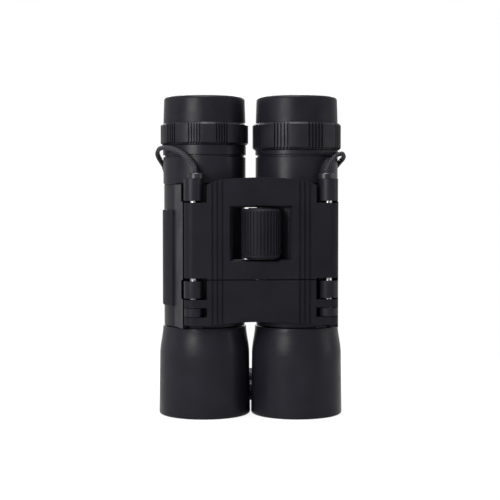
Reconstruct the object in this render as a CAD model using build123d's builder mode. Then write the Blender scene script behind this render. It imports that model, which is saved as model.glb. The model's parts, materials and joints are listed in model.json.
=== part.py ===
"""Compact folding binoculars: two barrels on a two-part bridge, with a focus wheel and a neck cord.

Millimetres, +Z up. The binoculars stand on their objective rims, with the bridge in front (-Y).
"""

import math
import os
from build123d import *

# Hinges: each barrel swings about a pin at its end of the bridge
hinge_half_span = 22.6
hinge_arm = 17.5
left_fold = 14.5
right_fold = 31.5
knuckle_r = 3.2
knuckle_web = 3.6
pin_r = 1.2
pin_play = 0.05
pin_cap = 1.2
pin_end_play = 0.2

# Barrel body, its spigot and its moulded grip pad
body_r = 13.9
body_wall = 1.4
body_len = 48.0
spigot_r = 12.4
spigot_wall = 1.0
spigot_len = 17.0
slide_play = 0.05
prism_ledge = 9.0
pad_rise = 0.55
pad_bottom_gap = 6.8
pad_len = 32.7
pad_angle = 67.0
pad_half_angle = 30.0
pad_edge = 0.3
cheek_from_pad = 2.0
cheek_gap = 0.35
cheek_proud = 0.25
cheek_pocket = 1.0
pocket_margin = 0.35
seat_gap = 0.05

# Objective tube and its lens
objective_r = 15.5
objective_rim_r = 14.35
objective_len = 30.6
straight_len = 20.3
rim_gap = 0.4
foot_round = 0.8
rim_round = 0.3
hood_r = 13.6
hood_depth = 5.5
objective_lens_r = 12.5
objective_lens_edge = 3.2
objective_lens_dome = 1.0
lens_seat_r = 11.5
lens_seat_len = 1.2
keeper_len = 1.6
tongue_width = 5.0
tongue_thick = 1.35
tongue_gap = 0.3

# Eyepiece: housing, ring, eyecup and the lens cell inside
housing_r = 14.15
housing_len = 9.4
housing_chamfer = 0.5
housing_bore_r = 9.5
plug_len = 3.0
cell_floor = 4.0
groove_r = 13.6
groove_len = 0.7
band_r = 14.25
collar_len = 10.8
ring_gap = 0.15
left_ring_r = 15.05
left_ring_len = 7.4
left_ring_groups = 10
right_ring_r = 15.2
right_ring_len = 9.1
right_ring_groups = 8
ring_edge = 0.7
group_grooves = 5
ring_groove_w = 0.5
ring_groove_d = 0.4
sleeve_r = 12.55
sleeve_wall = 1.1
sleeve_len = 3.4
eyecup_r = 14.1
eyecup_top_r = 13.8
eyecup_len = 9.1
eyecup_bore_r = 11.65
eyecup_round = 1.2
eyecup_lip = 0.5
cell_len = 17.0
cell_wall = 1.2
cell_rest = 3.0
lens_ledge = 1.0
lens_ledge_len = 6.0
eye_lens_edge = 2.4
eye_lens_dome = 0.9
field_lens_edge = 2.6
field_lens_dome = 0.9
lens_keeper_len = 0.9
stop_len = 0.8
stop_r = 6.5

# Roof prism pair in its cage
prism_aperture = 10.5
prism_gap = 0.1
ridge_flat = 0.1
cage_floor = 2.0
cage_top = 2.0
cage_hole_r = 5.2

# Bridge: front housing, back cover and the window for the wheel
plate_front = 3.2
split_depth = 0.7
cover_thick = 1.0
plate_half_width = 18.2
plate_corner_w = 3.0
plate_corner_h = 1.4
plate_arch = 1.15
plate_side_top = 1.2
flute_x = 12.9
flute_pitch = 1.65
flutes_each_side = 3
flute_w = 0.8
flute_d = 0.45
window_rise = 2.3
window_w = 19.2
window_h = 17.4
window_bevel = 1.1
window_bevel_z = 0.55
window_bevel_depth = 1.2
bearing_r = 3.0
cover_margin = 0.9
screw_x = 7.4
screw_inset = 4.0
screw_head_r = 1.3
screw_head_len = 0.6
screw_shank_r = 0.7
screw_depth = 1.6
screw_play = 0.05

# Knuckles along each hinge pin, counted from the top down
top_knuckle_rise = 1.9
top_knuckle_len = 7.3
upper_pin_gap = 0.7
bridge_knuckle_len = 25.0
middle_pin_gap = 1.0
low_knuckle_len = 5.7
lower_pin_gap = 0.5
carrier_knuckle_len = 2.6
slide_knuckle_gap = 0.2
slide_knuckle_len = 2.8
end_knuckle_len = 2.7
parting_drop = 0.4
parting_gap = 0.3

# Focus wheel, its screw and the nut that carries the lower bridge
wheel_r = 6.6
wheel_len = 16.4
wheel_flutes = 36
wheel_flute_r = 0.3
wheel_chamfer = 0.8
shaft_r = 1.3
shaft_play = 0.05
shaft_top_gap = 3.0
shaft_tail = 2.5
shaft_end_gap = 1.5
washer_r = 2.6
washer_thick = 0.35
nut_r = 2.0
nut_len = 8.0
nut_boss_r = 3.6

# Strap eye: a slotted button on top of each hinge
eye_r = 2.7
eye_len = 1.9
eye_floor = 0.4
eye_slot_w = 1.9
eye_edge = 0.3
eye_offset = 0.8

# Neck cord: thin doubled end loops, crimps and one thicker cord wound in a coil
strand_d = 1.4
strand_spacing = 1.8
neck_cord_d = 3.0
crimp_r = 2.2
crimp_len = 8.0
crimp_gap = 0.05
crimp_start_y = 34.0
cord_rest_z = 1.6
cord_lift = 0.1
coil_lead = 6.0
coil_outer_r = 22.3
coil_pitch = 3.5
coil_layer_rise = 3.5
coil_turns_in = 2.75
coil_dip = 0.9
coil_last_step = 1.6
coil_samples_per_turn = 48
strand_bend = 0.45

# Heights worked out from the stack of pieces
body_bottom = objective_len + rim_gap
body_top = body_bottom + body_len
housing_top = body_top + housing_len
band_bottom = housing_top + groove_len
ring_top = band_bottom + collar_len
eyecup_top = ring_top + eyecup_len
sleeve_top = ring_top + sleeve_len
cell_bottom = body_top + cell_floor + cell_rest
cell_top = cell_bottom + cell_len
spigot_bottom = body_bottom - spigot_len
prism_floor = body_bottom + prism_ledge
lens_seat_z = hood_depth + keeper_len + objective_lens_edge + objective_lens_dome
guide_bottom = lens_seat_z + lens_seat_len

top_knuckle_top = body_top + top_knuckle_rise
top_knuckle_bottom = top_knuckle_top - top_knuckle_len
bridge_knuckle_top = top_knuckle_bottom - upper_pin_gap
bridge_knuckle_bottom = bridge_knuckle_top - bridge_knuckle_len
low_knuckle_top = bridge_knuckle_bottom - middle_pin_gap
low_knuckle_bottom = low_knuckle_top - low_knuckle_len
carrier_knuckle_top = low_knuckle_bottom - lower_pin_gap
carrier_knuckle_bottom = carrier_knuckle_top - carrier_knuckle_len
slide_knuckle_top = carrier_knuckle_bottom - slide_knuckle_gap
slide_knuckle_bottom = slide_knuckle_top - slide_knuckle_len
end_knuckle_top = slide_knuckle_bottom - slide_knuckle_gap
end_knuckle_bottom = end_knuckle_top - end_knuckle_len
pin_top = top_knuckle_top - pin_cap - pin_end_play
pin_bottom = end_knuckle_bottom + pin_end_play
plate_bottom = bridge_knuckle_bottom - parting_drop
plate_top = body_top + plate_side_top
carrier_top = plate_bottom - parting_gap
window_z = (bridge_knuckle_top + bridge_knuckle_bottom) / 2 + window_rise
wheel_bottom = window_z - wheel_len / 2
shaft_top = plate_top - shaft_top_gap
nut_bottom = carrier_top - nut_len
shaft_bottom = nut_bottom - shaft_tail
screw_hole_bottom = shaft_bottom - shaft_end_gap

# Radii that follow from walls and fits
body_bore_r = body_r - body_wall
spigot_bore_r = spigot_r - spigot_wall
guide_bore_r = spigot_r + slide_play
lens_bore_r = objective_lens_r + seat_gap
pin_bore_r = pin_r + pin_play
sleeve_bore_r = sleeve_r - sleeve_wall
collar_bore_r = sleeve_r + seat_gap
cell_r = sleeve_bore_r - slide_play
cell_bore_r = cell_r - cell_wall
glass_r = cell_bore_r - seat_gap
shaft_bore_r = shaft_r + shaft_play

# Place of the bridge, so that the whole object stands centred on the origin
left_lean = math.radians(left_fold)
right_lean = math.radians(right_fold)
bridge_x = hinge_arm * (math.sin(right_lean) - math.sin(left_lean)) / 2
rear_y = hinge_arm * max(math.cos(left_lean), math.cos(right_lean)) + objective_r
front_y = split_depth + wheel_r
bridge_y = (front_y - rear_y) / 2


class Side:
    """One half of the binoculars: its hinge, its barrel axis and planes that follow them."""

    def __init__(self, name, sign, lean):
        self.name = name
        self.sign = sign
        self.hinge = Vector(bridge_x + sign * hinge_half_span, bridge_y, 0)
        offset = Vector(-sign * math.sin(lean), math.cos(lean), 0)
        self.centre = self.hinge + offset * hinge_arm
        self.axis = Axis(self.centre, (0, 0, 1))
        self.to_hinge = math.degrees(math.atan2(-offset.Y, -offset.X))

    def level(self, height):
        """A level plane on the barrel axis, with its X towards the hinge."""
        turn = math.radians(self.to_hinge)
        return Plane(self.centre + Vector(0, 0, height), x_dir=(math.cos(turn), math.sin(turn), 0))

    def section(self, angle=0.0):
        """An upright half plane through the barrel axis, turned from the hinge by an angle."""
        turn = math.radians(self.to_hinge + angle)
        return Plane(
            self.centre,
            x_dir=(math.cos(turn), math.sin(turn), 0),
            z_dir=(math.sin(turn), -math.cos(turn), 0),
        )

    def pin_level(self, height):
        """A level plane on the hinge axis."""
        return Plane(self.hinge + Vector(0, 0, height))


left = Side("left", -1, left_lean)
right = Side("right", 1, right_lean)


def bridge_plane(depth):
    """An upright plane facing the front, at a depth behind the hinge axes."""
    return Plane((bridge_x, bridge_y + depth, 0), x_dir=(1, 0, 0), z_dir=(0, -1, 0))


def wheel_level(height):
    """A level plane on the focus wheel's axis."""
    return Plane((bridge_x, bridge_y - split_depth, height))


def save(part, node):
    """Label a finished piece and write it under its own name."""
    part.label = node
    export_step(part, f"parts/{node}.step")


def turned(side, outline):
    """A round piece: a closed outline of (radius, height) corners, turned about a barrel's axis."""
    with BuildPart() as turning:
        with BuildSketch(side.section()):
            with BuildLine():
                Polyline(*outline, close=True)
            make_face()
        revolve(axis=side.axis)
    return turning.part


def lens(side, radius, clear_r, bottom, edge, dome):
    """A glass lens: a flat rim to seat on, and a domed face above and below inside it."""
    top = bottom + edge
    dome_r = (clear_r**2 + dome**2) / (2 * dome)
    half = math.asin(clear_r / dome_r) / 2
    mid_r = dome_r * math.sin(half)
    mid_rise = dome - dome_r * (1 - math.cos(half))
    with BuildPart() as glass:
        with BuildSketch(side.section()):
            with BuildLine():
                Line((0, bottom - dome), (0, top + dome))
                ThreePointArc((0, top + dome), (mid_r, top + mid_rise), (clear_r, top))
                Polyline((clear_r, top), (radius, top), (radius, bottom), (clear_r, bottom))
                ThreePointArc((clear_r, bottom), (mid_r, bottom - mid_rise), (0, bottom - dome))
            make_face()
        revolve(axis=side.axis)
    return glass.part


def cheek_outline(side, root):
    """Plan of the moulded cheek between a barrel and the outer side of its hinge."""
    start_turn = math.radians(pad_angle - pad_half_angle - cheek_from_pad)
    start = Vector(body_r * math.cos(start_turn), body_r * math.sin(start_turn))
    hinge = Vector(hinge_arm, 0)
    to_hinge = hinge - start
    offset = knuckle_r + cheek_proud
    heading = math.atan2(to_hinge.Y, to_hinge.X) + math.asin(offset / to_hinge.length)
    reach = math.sqrt(to_hinge.length**2 - offset**2)
    tip = start + Vector(math.cos(heading), math.sin(heading)) * reach
    corners = [start, tip, hinge, Vector(root, 0)]
    return [(corner.X, side.sign * corner.Y) for corner in corners]


def barrel_body(side):
    """Barrel casting: body tube, inner spigot, two hinge knuckles and the slot for the slide tongue."""
    tube = turned(side, [
        (spigot_bore_r, spigot_bottom),
        (spigot_r, spigot_bottom),
        (spigot_r, body_bottom),
        (body_r, body_bottom),
        (body_r, body_top),
        (body_bore_r, body_top),
        (body_bore_r, prism_floor),
        (spigot_bore_r, prism_floor),
    ])
    web_start = (body_bore_r + body_r) / 2
    with BuildPart() as body:
        add(tube)
        with BuildSketch(side.level(body_bottom)):
            with BuildLine():
                Polyline(*cheek_outline(side, web_start), close=True)
            make_face()
            with Locations((hinge_arm, 0)):
                Circle(knuckle_r + cheek_gap, mode=Mode.SUBTRACT)
        extrude(amount=body_len)
        for bottom, top in ((low_knuckle_bottom, low_knuckle_top), (top_knuckle_bottom, body_top)):
            with BuildSketch(side.pin_level(bottom - pocket_margin)):
                Circle(knuckle_r + cheek_pocket)
            extrude(amount=top - bottom + 2 * pocket_margin, mode=Mode.SUBTRACT)
        for bottom, top, web_top in (
            (top_knuckle_bottom, top_knuckle_top, body_top),
            (low_knuckle_bottom, low_knuckle_top, low_knuckle_top),
        ):
            with BuildSketch(side.level(bottom)):
                with Locations(((web_start + hinge_arm) / 2, 0)):
                    Rectangle(hinge_arm - web_start, knuckle_web)
            extrude(amount=web_top - bottom)
            with BuildSketch(side.pin_level(bottom)):
                Circle(knuckle_r)
            extrude(amount=top - bottom)
        with BuildSketch(side.pin_level(low_knuckle_bottom)):
            Circle(pin_bore_r)
        extrude(amount=top_knuckle_top - pin_cap - low_knuckle_bottom, mode=Mode.SUBTRACT)
        slot_top = slide_knuckle_top + tongue_gap
        with BuildSketch(side.level(body_bottom)):
            with Locations((body_r, 0)):
                Rectangle(body_r, tongue_width + 2 * tongue_gap)
            Circle(spigot_r, mode=Mode.SUBTRACT)
        extrude(amount=slot_top - body_bottom, mode=Mode.SUBTRACT)
    return body.part


def grip_pad(side):
    """Raised grip pad on the outer side of a barrel."""
    middle = side.sign * pad_angle
    bottom = body_bottom + pad_bottom_gap
    inner = body_r + seat_gap
    outer = body_r + pad_rise
    with BuildPart() as pad:
        with BuildSketch(side.section(middle - pad_half_angle)):
            with Locations(((inner + outer) / 2, bottom + pad_len / 2)):
                Rectangle(outer - inner, pad_len)
        revolve(axis=side.axis, revolution_arc=2 * pad_half_angle)
        skin = pad.faces().filter_by(GeomType.CYLINDER).sort_by(SortBy.AREA)[-1]
        chamfer(skin.edges(), pad_edge)
    return pad.part


def objective_tube(side):
    """Sliding objective tube: hood, lens seat, guide bore, and the tongue with its hinge knuckle."""
    with BuildPart() as tube:
        with BuildSketch(side.section()):
            with BuildLine():
                Polyline(
                    (objective_rim_r, objective_len),
                    (guide_bore_r, objective_len),
                    (guide_bore_r, guide_bottom),
                    (lens_seat_r, guide_bottom),
                    (lens_seat_r, lens_seat_z),
                    (lens_bore_r, lens_seat_z),
                    (lens_bore_r, hood_depth),
                    (hood_r, hood_depth),
                    (hood_r, 0),
                    (objective_r, 0),
                    (objective_r, straight_len),
                )
                TangentArc((objective_r, straight_len), (objective_rim_r, objective_len), tangent=(0, 1))
            make_face()
        revolve(axis=side.axis)
        foot = tube.edges().filter_by(GeomType.CIRCLE).group_by(Axis.Z)[0].sort_by(SortBy.RADIUS)[-1]
        fillet(foot, foot_round)
        rim = tube.edges().filter_by(GeomType.CIRCLE).group_by(Axis.Z)[-1].sort_by(SortBy.RADIUS)[-1]
        fillet(rim, rim_round)
        tongue_bottom = objective_len - lens_seat_len
        tongue_r = guide_bore_r + tongue_thick
        with BuildSketch(side.level(tongue_bottom)):
            Circle(tongue_r)
            with Locations((tongue_r, 0)):
                Rectangle(2 * tongue_r, tongue_width, mode=Mode.INTERSECT)
            Circle(guide_bore_r, mode=Mode.SUBTRACT)
        extrude(amount=slide_knuckle_top - tongue_bottom)
        web_start = guide_bore_r + tongue_thick / 2
        with BuildSketch(side.level(slide_knuckle_bottom)):
            with Locations(((web_start + hinge_arm) / 2, 0)):
                Rectangle(hinge_arm - web_start, knuckle_web)
        extrude(amount=slide_knuckle_len)
        with BuildSketch(side.pin_level(slide_knuckle_bottom)):
            Circle(knuckle_r)
        extrude(amount=slide_knuckle_len)
        with BuildSketch(side.pin_level(slide_knuckle_bottom)):
            Circle(pin_bore_r)
        extrude(amount=slide_knuckle_len, mode=Mode.SUBTRACT)
    return tube.part


def eyepiece_housing(side, ring_len):
    """Eyepiece housing: upper tube, dividing groove, plain band and the sleeve for ring and eyecup."""
    band_top = ring_top - ring_len - ring_gap
    plug_r = body_bore_r - seat_gap
    shell = turned(side, [
        (housing_bore_r, body_top - plug_len),
        (plug_r, body_top - plug_len),
        (plug_r, body_top),
        (housing_r - housing_chamfer, body_top),
        (housing_r, body_top + housing_chamfer),
        (housing_r, housing_top),
        (groove_r, housing_top),
        (groove_r, band_bottom),
        (band_r, band_bottom),
        (band_r, band_top),
        (sleeve_r, band_top),
        (sleeve_r, sleeve_top),
        (sleeve_bore_r, sleeve_top),
        (sleeve_bore_r, body_top + cell_floor),
        (housing_bore_r, body_top + cell_floor),
    ])
    return shell


def grip_ring(side, ring_r, ring_len, groups):
    """Eyepiece ring with evenly spaced groups of fine upright grooves."""
    bottom = ring_top - ring_len
    blank = turned(side, [
        (collar_bore_r, bottom),
        (ring_r - ring_edge, bottom),
        (ring_r, bottom + ring_edge),
        (ring_r, ring_top - ring_edge),
        (ring_r - ring_edge, ring_top),
        (collar_bore_r, ring_top),
    ])
    group_pitch = 360 / groups
    groove_pitch = group_pitch / (2 * group_grooves)
    with BuildPart() as ring:
        add(blank)
        with BuildSketch(side.level(bottom)):
            for group in range(groups):
                start = (group + 0.25) * group_pitch
                with PolarLocations(ring_r, group_grooves, start, group_grooves * groove_pitch):
                    Rectangle(2 * ring_groove_d, ring_groove_w)
        extrude(amount=ring_len, mode=Mode.SUBTRACT)
    return ring.part


def eyecup(side):
    """Soft eyecup that caps the ring, with a rounded brow edge."""
    cup_blank = turned(side, [
        (collar_bore_r, ring_top),
        (eyecup_r, ring_top),
        (eyecup_top_r, eyecup_top),
        (eyecup_bore_r, eyecup_top),
        (eyecup_bore_r, sleeve_top + ring_gap),
        (collar_bore_r, sleeve_top + ring_gap),
    ])
    with BuildPart() as cup:
        add(cup_blank)
        brow = cup.edges().filter_by(GeomType.CIRCLE).group_by(Axis.Z)[-1].sort_by(SortBy.RADIUS)
        fillet(brow[-1], eyecup_round)
        lip = cup.edges().filter_by(GeomType.CIRCLE).group_by(Axis.Z)[-1].sort_by(SortBy.RADIUS)
        fillet(lip[0], eyecup_lip)
    return cup.part


def ocular_cell(side):
    """Lens cell of an eyepiece: a tube with a ledge that both lenses seat against."""
    ledge_bottom = cell_bottom + (cell_len - lens_ledge_len) / 2
    ledge_top = ledge_bottom + lens_ledge_len
    ledge_r = cell_bore_r - lens_ledge
    return turned(side, [
        (cell_bore_r, cell_bottom),
        (cell_r, cell_bottom),
        (cell_r, cell_top),
        (cell_bore_r, cell_top),
        (cell_bore_r, ledge_top),
        (ledge_r, ledge_top),
        (ledge_r, ledge_bottom),
        (cell_bore_r, ledge_bottom),
    ])


def flat_ring(side, inner, outer, bottom, top):
    """A plain flat ring, such as a threaded keeper or a field stop."""
    return turned(side, [(inner, bottom), (outer, bottom), (outer, top), (inner, top)])


def prism_cage(side):
    """Prism cage: a round block with a slot for the prism pair and a light hole in floor and top."""
    height = cage_floor + prism_height + 2 * prism_gap + cage_top
    with BuildPart() as cage:
        with BuildSketch(side.level(prism_floor)):
            Circle(body_bore_r - seat_gap)
        extrude(amount=height)
        with BuildSketch(side.level(prism_floor + cage_floor)):
            Rectangle(2 * body_r, prism_aperture + 2 * prism_gap)
        extrude(amount=prism_height + 2 * prism_gap, mode=Mode.SUBTRACT)
        with BuildSketch(side.level(prism_floor)):
            Circle(cage_hole_r)
        extrude(amount=height, mode=Mode.SUBTRACT)
    return cage.part


def prism(side, corners, shift=0.0):
    """A glass prism: an outline in shares of the light aperture, made as wide as that aperture."""
    base = prism_floor + cage_floor + prism_gap
    outline = [(x * prism_aperture + shift, base + z * prism_aperture) for x, z in corners]
    with BuildPart() as glass:
        with BuildSketch(side.section().offset(-prism_aperture / 2)):
            with BuildLine():
                Polyline(*outline, close=True)
            make_face()
        extrude(amount=prism_aperture)
    return glass.part


def roof_prism(side):
    """Prism with a ridged back: two faces at a right angle turn the picture the right way round."""
    with BuildPart() as glass:
        add(prism(side, roof_corners, shift=prism_gap * math.sqrt(2)))
        toward_hinge = Axis(side.centre, side.level(0).x_dir)
        back = glass.faces().sort_by(toward_hinge)[-1]
        slanted_edges = back.edges().sort_by(SortBy.LENGTH)[-2:]
        chamfer(slanted_edges, (prism_aperture - ridge_flat) / 2)
    return glass.part


def strap_eye(side):
    """Slotted button on the hinge's top, a little towards the bridge, which the doubled cord comes out of."""
    place = (-side.sign * eye_offset, 0)
    with BuildPart() as button:
        with BuildSketch(side.pin_level(top_knuckle_top)):
            with Locations(place):
                Circle(eye_r)
        extrude(amount=eye_len)
        chamfer(button.faces().sort_by(Axis.Z)[-1].edges(), eye_edge)
        with BuildSketch(side.pin_level(top_knuckle_top + eye_floor)):
            with Locations(place):
                Rectangle(eye_slot_w, 2 * strand_spacing)
        extrude(amount=eye_len, mode=Mode.SUBTRACT)
    return button.part


# Prism outlines: a half-penta prism below and a roof prism above it
root_half = math.sqrt(0.5)
side_rise = 0.5 + root_half
prism_height = side_rise * prism_aperture
penta_corners = [(0.5, 0.0), (-root_half, side_rise), (-root_half - side_rise + 1.0, 1.0), (-0.5, 0.0)]
roof_corners = [(-root_half, side_rise), (1.0, side_rise), (0.5, 0.0)]


def bridge_housing():
    """Upper bridge: grooved plate with an arched top, hinge tubes at both ends and the wheel window."""
    thick = plate_front - split_depth
    window_centre = (0, window_z)
    with BuildPart() as housing:
        with BuildSketch(bridge_plane(-split_depth)):
            with BuildLine():
                Polyline(
                    (-plate_half_width + plate_corner_w, plate_top),
                    (-plate_half_width, plate_top - plate_corner_h),
                    (-plate_half_width, plate_bottom),
                    (plate_half_width, plate_bottom),
                    (plate_half_width, plate_top - plate_corner_h),
                    (plate_half_width - plate_corner_w, plate_top),
                )
                ThreePointArc(
                    (plate_half_width - plate_corner_w, plate_top),
                    (0, plate_top + plate_arch),
                    (-plate_half_width + plate_corner_w, plate_top),
                )
            make_face()
            with Locations((0, (bridge_knuckle_top + bridge_knuckle_bottom) / 2)):
                Rectangle(2 * hinge_half_span, bridge_knuckle_len)
        extrude(amount=thick)
        for side in (left, right):
            with BuildSketch(side.pin_level(bridge_knuckle_bottom)):
                Circle(knuckle_r)
            extrude(amount=bridge_knuckle_len)
        for side in (left, right):
            with BuildSketch(side.pin_level(bridge_knuckle_bottom)):
                Circle(pin_r + seat_gap)
            extrude(amount=bridge_knuckle_len, mode=Mode.SUBTRACT)
        with BuildSketch(bridge_plane(-split_depth)):
            with Locations(window_centre):
                Rectangle(window_w, window_h)
        extrude(amount=thick, mode=Mode.SUBTRACT)
        with BuildSketch(bridge_plane(-plate_front)):
            with Locations(window_centre):
                Rectangle(window_w + 2 * window_bevel, window_h + 2 * window_bevel_z)
        with BuildSketch(bridge_plane(-plate_front + window_bevel_depth)):
            with Locations(window_centre):
                Rectangle(window_w, window_h)
        loft(mode=Mode.SUBTRACT)
        with BuildSketch(bridge_plane(-plate_front)):
            for sign in (-1, 1):
                for flute in range(flutes_each_side):
                    with Locations((sign * (flute_x + flute * flute_pitch), (plate_top + plate_bottom) / 2)):
                        Rectangle(flute_w, 2 * body_len)
        extrude(amount=-flute_d, mode=Mode.SUBTRACT)
        with BuildSketch(wheel_level(plate_bottom)):
            Circle(shaft_bore_r)
        extrude(amount=shaft_top + pin_end_play - plate_bottom, mode=Mode.SUBTRACT)
        for x, z in screw_places():
            with BuildSketch(bridge_plane(-split_depth)):
                with Locations((x, z)):
                    Circle(screw_shank_r + screw_play)
            extrude(amount=screw_depth + screw_play, mode=Mode.SUBTRACT)
    return housing.part


def screw_places():
    """Places of the four cover screws, as (across, height)."""
    top = plate_top - screw_inset
    bottom = window_z - window_h / 2 - screw_inset
    return [(sign * screw_x, z) for sign in (-1, 1) for z in (bottom, top)]


def bridge_back_cover():
    """Back cover of the upper bridge, with the rear halves of the shaft bearings."""
    bottom = plate_bottom + cover_margin
    top = plate_top - cover_margin
    half_width = plate_half_width - cover_margin
    with BuildPart() as cover:
        with BuildSketch(bridge_plane(cover_thick - split_depth)):
            with Locations((0, (bottom + top) / 2)):
                Rectangle(2 * half_width, top - bottom)
        extrude(amount=cover_thick)
        with BuildSketch(wheel_level(bottom)):
            Circle(bearing_r)
            with Locations((0, -bearing_r)):
                Rectangle(2 * bearing_r, 2 * bearing_r, mode=Mode.SUBTRACT)
        extrude(amount=top - bottom)
        with BuildSketch(bridge_plane(bearing_r)):
            with Locations((0, window_z)):
                Rectangle(window_w, window_h)
        extrude(amount=2 * bearing_r, mode=Mode.SUBTRACT)
        with BuildSketch(wheel_level(bottom)):
            Circle(shaft_bore_r)
        extrude(amount=shaft_top + pin_end_play - bottom, mode=Mode.SUBTRACT)
        with BuildSketch(bridge_plane(bearing_r)):
            with Locations(screw_places()):
                Circle(screw_shank_r + screw_play)
        extrude(amount=2 * bearing_r, mode=Mode.SUBTRACT)
    return cover.part


def cover_screws():
    """Four small pan-head screws that hold the back cover."""
    with BuildPart() as screws:
        with BuildSketch(bridge_plane(cover_thick - split_depth)):
            with Locations(screw_places()):
                Circle(screw_shank_r)
        extrude(amount=cover_thick + screw_depth)
        with BuildSketch(bridge_plane(cover_thick - split_depth)):
            with Locations(screw_places()):
                Circle(screw_head_r)
        extrude(amount=-screw_head_len)
    return screws.part


def focus_carrier():
    """Lower bridge: slides along both hinge pins, holds the focus nut and carries the objective tubes."""
    thick = plate_front - split_depth + cover_thick
    arm_len = hinge_half_span - plate_half_width
    levels = ((carrier_knuckle_bottom, carrier_knuckle_len), (end_knuckle_bottom, end_knuckle_len))
    with BuildPart() as carrier:
        with BuildSketch(bridge_plane(cover_thick - split_depth)):
            with BuildLine():
                Polyline(
                    (plate_half_width, end_knuckle_bottom),
                    (plate_half_width, carrier_top),
                    (-plate_half_width, carrier_top),
                    (-plate_half_width, end_knuckle_bottom),
                )
                ThreePointArc(
                    (-plate_half_width, end_knuckle_bottom),
                    (0, end_knuckle_bottom + plate_arch),
                    (plate_half_width, end_knuckle_bottom),
                )
            make_face()
            for sign in (-1, 1):
                for bottom, length in levels:
                    with Locations((sign * (plate_half_width + arm_len / 2), bottom + length / 2)):
                        Rectangle(arm_len, length)
        extrude(amount=thick)
        for side in (left, right):
            for bottom, length in levels:
                with BuildSketch(side.pin_level(bottom)):
                    Circle(knuckle_r)
                extrude(amount=length)
        with BuildSketch(wheel_level(screw_hole_bottom)):
            Circle(nut_boss_r)
            with Locations((0, -nut_boss_r)):
                Rectangle(2 * nut_boss_r, 2 * nut_boss_r, mode=Mode.SUBTRACT)
        extrude(amount=carrier_top - screw_hole_bottom)
        for side in (left, right):
            with BuildSketch(side.pin_level(end_knuckle_bottom)):
                Circle(pin_bore_r)
            extrude(amount=carrier_knuckle_top - end_knuckle_bottom, mode=Mode.SUBTRACT)
        with BuildSketch(bridge_plane(-plate_front)):
            for sign in (-1, 1):
                for flute in range(flutes_each_side):
                    with Locations((sign * (flute_x + flute * flute_pitch), carrier_top)):
                        Rectangle(flute_w, 2 * body_len)
        extrude(amount=-flute_d, mode=Mode.SUBTRACT)
        with BuildSketch(wheel_level(nut_bottom)):
            Circle(nut_r + seat_gap)
        extrude(amount=nut_len, mode=Mode.SUBTRACT)
        with BuildSketch(wheel_level(screw_hole_bottom)):
            Circle(shaft_bore_r)
        extrude(amount=carrier_top - screw_hole_bottom, mode=Mode.SUBTRACT)
    return carrier.part


def focus_nut():
    """Brass nut seated in the lower bridge: the focus screw draws it up and down."""
    with BuildPart() as nut:
        with BuildSketch(wheel_level(nut_bottom)):
            Circle(nut_r)
            Circle(shaft_bore_r, mode=Mode.SUBTRACT)
        extrude(amount=nut_len)
    return nut.part


def focus_wheel():
    """Fluted focus wheel with chamfered ends."""
    with BuildPart() as wheel:
        with BuildSketch(wheel_level(wheel_bottom)):
            Circle(wheel_r)
        extrude(amount=wheel_len)
        ends = wheel.edges().filter_by(GeomType.CIRCLE)
        chamfer(ends, wheel_chamfer)
        with BuildSketch(wheel_level(wheel_bottom)):
            with PolarLocations(wheel_r, wheel_flutes):
                Rectangle(2 * wheel_flute_r, 2 * wheel_flute_r)
        extrude(amount=wheel_len, mode=Mode.SUBTRACT)
        with BuildSketch(wheel_level(wheel_bottom)):
            Circle(shaft_r + seat_gap)
        extrude(amount=wheel_len, mode=Mode.SUBTRACT)
    return wheel.part


def focus_screw():
    """Focus shaft: plain in the bearings and the wheel, a screw in the nut below."""
    with BuildPart() as shaft:
        with BuildSketch(wheel_level(shaft_bottom)):
            Circle(shaft_r)
        extrude(amount=shaft_top - shaft_bottom)
    return shaft.part


def wheel_washers():
    """Thin washers above and below the wheel."""
    with BuildPart() as washers:
        for bottom in (wheel_bottom - washer_thick, wheel_bottom + wheel_len):
            with BuildSketch(wheel_level(bottom)):
                Circle(washer_r)
                Circle(shaft_r + seat_gap, mode=Mode.SUBTRACT)
            extrude(amount=washer_thick)
    return washers.part


def hinge_pin(side):
    """Steel hinge pin, fixed in the upper bridge."""
    with BuildPart() as pin:
        with BuildSketch(side.pin_level(pin_bottom)):
            Circle(pin_r)
        extrude(amount=pin_top - pin_bottom)
        chamfer(pin.edges().filter_by(GeomType.CIRCLE), pin_end_play)
    return pin.part


def optics(side):
    """Every piece of glass in one barrel and the rings that hold it, each under its own name."""
    ledge_bottom = cell_bottom + (cell_len - lens_ledge_len) / 2
    ledge_top = ledge_bottom + lens_ledge_len
    field_bottom = ledge_bottom - seat_gap - field_lens_edge
    eye_bottom = ledge_top + seat_gap
    eye_top = eye_bottom + eye_lens_edge
    objective_bottom = lens_seat_z - seat_gap - objective_lens_edge
    keeper_top = objective_bottom - seat_gap
    ledge_r = cell_bore_r - lens_ledge
    clear_r = ledge_r - seat_gap
    stop_bottom = field_bottom - field_lens_dome - stop_len
    pieces = {
        "eye_lens": lens(side, glass_r, clear_r, eye_bottom, eye_lens_edge, eye_lens_dome),
        "eye_lens_keeper": flat_ring(side, ledge_r, glass_r, eye_top, eye_top + lens_keeper_len),
        "field_lens": lens(side, glass_r, clear_r, field_bottom, field_lens_edge, field_lens_dome),
        "field_stop": flat_ring(side, stop_r, glass_r, stop_bottom, stop_bottom + stop_len),
        "prism_cage": prism_cage(side),
        "half_penta_prism": prism(side, penta_corners),
        "roof_prism": roof_prism(side),
        "objective_lens": lens(
            side,
            objective_lens_r,
            lens_seat_r - seat_gap,
            objective_bottom,
            objective_lens_edge,
            objective_lens_dome,
        ),
        "objective_keeper": flat_ring(
            side, lens_seat_r, objective_lens_r, keeper_top - keeper_len, keeper_top
        ),
    }
    return pieces


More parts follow.
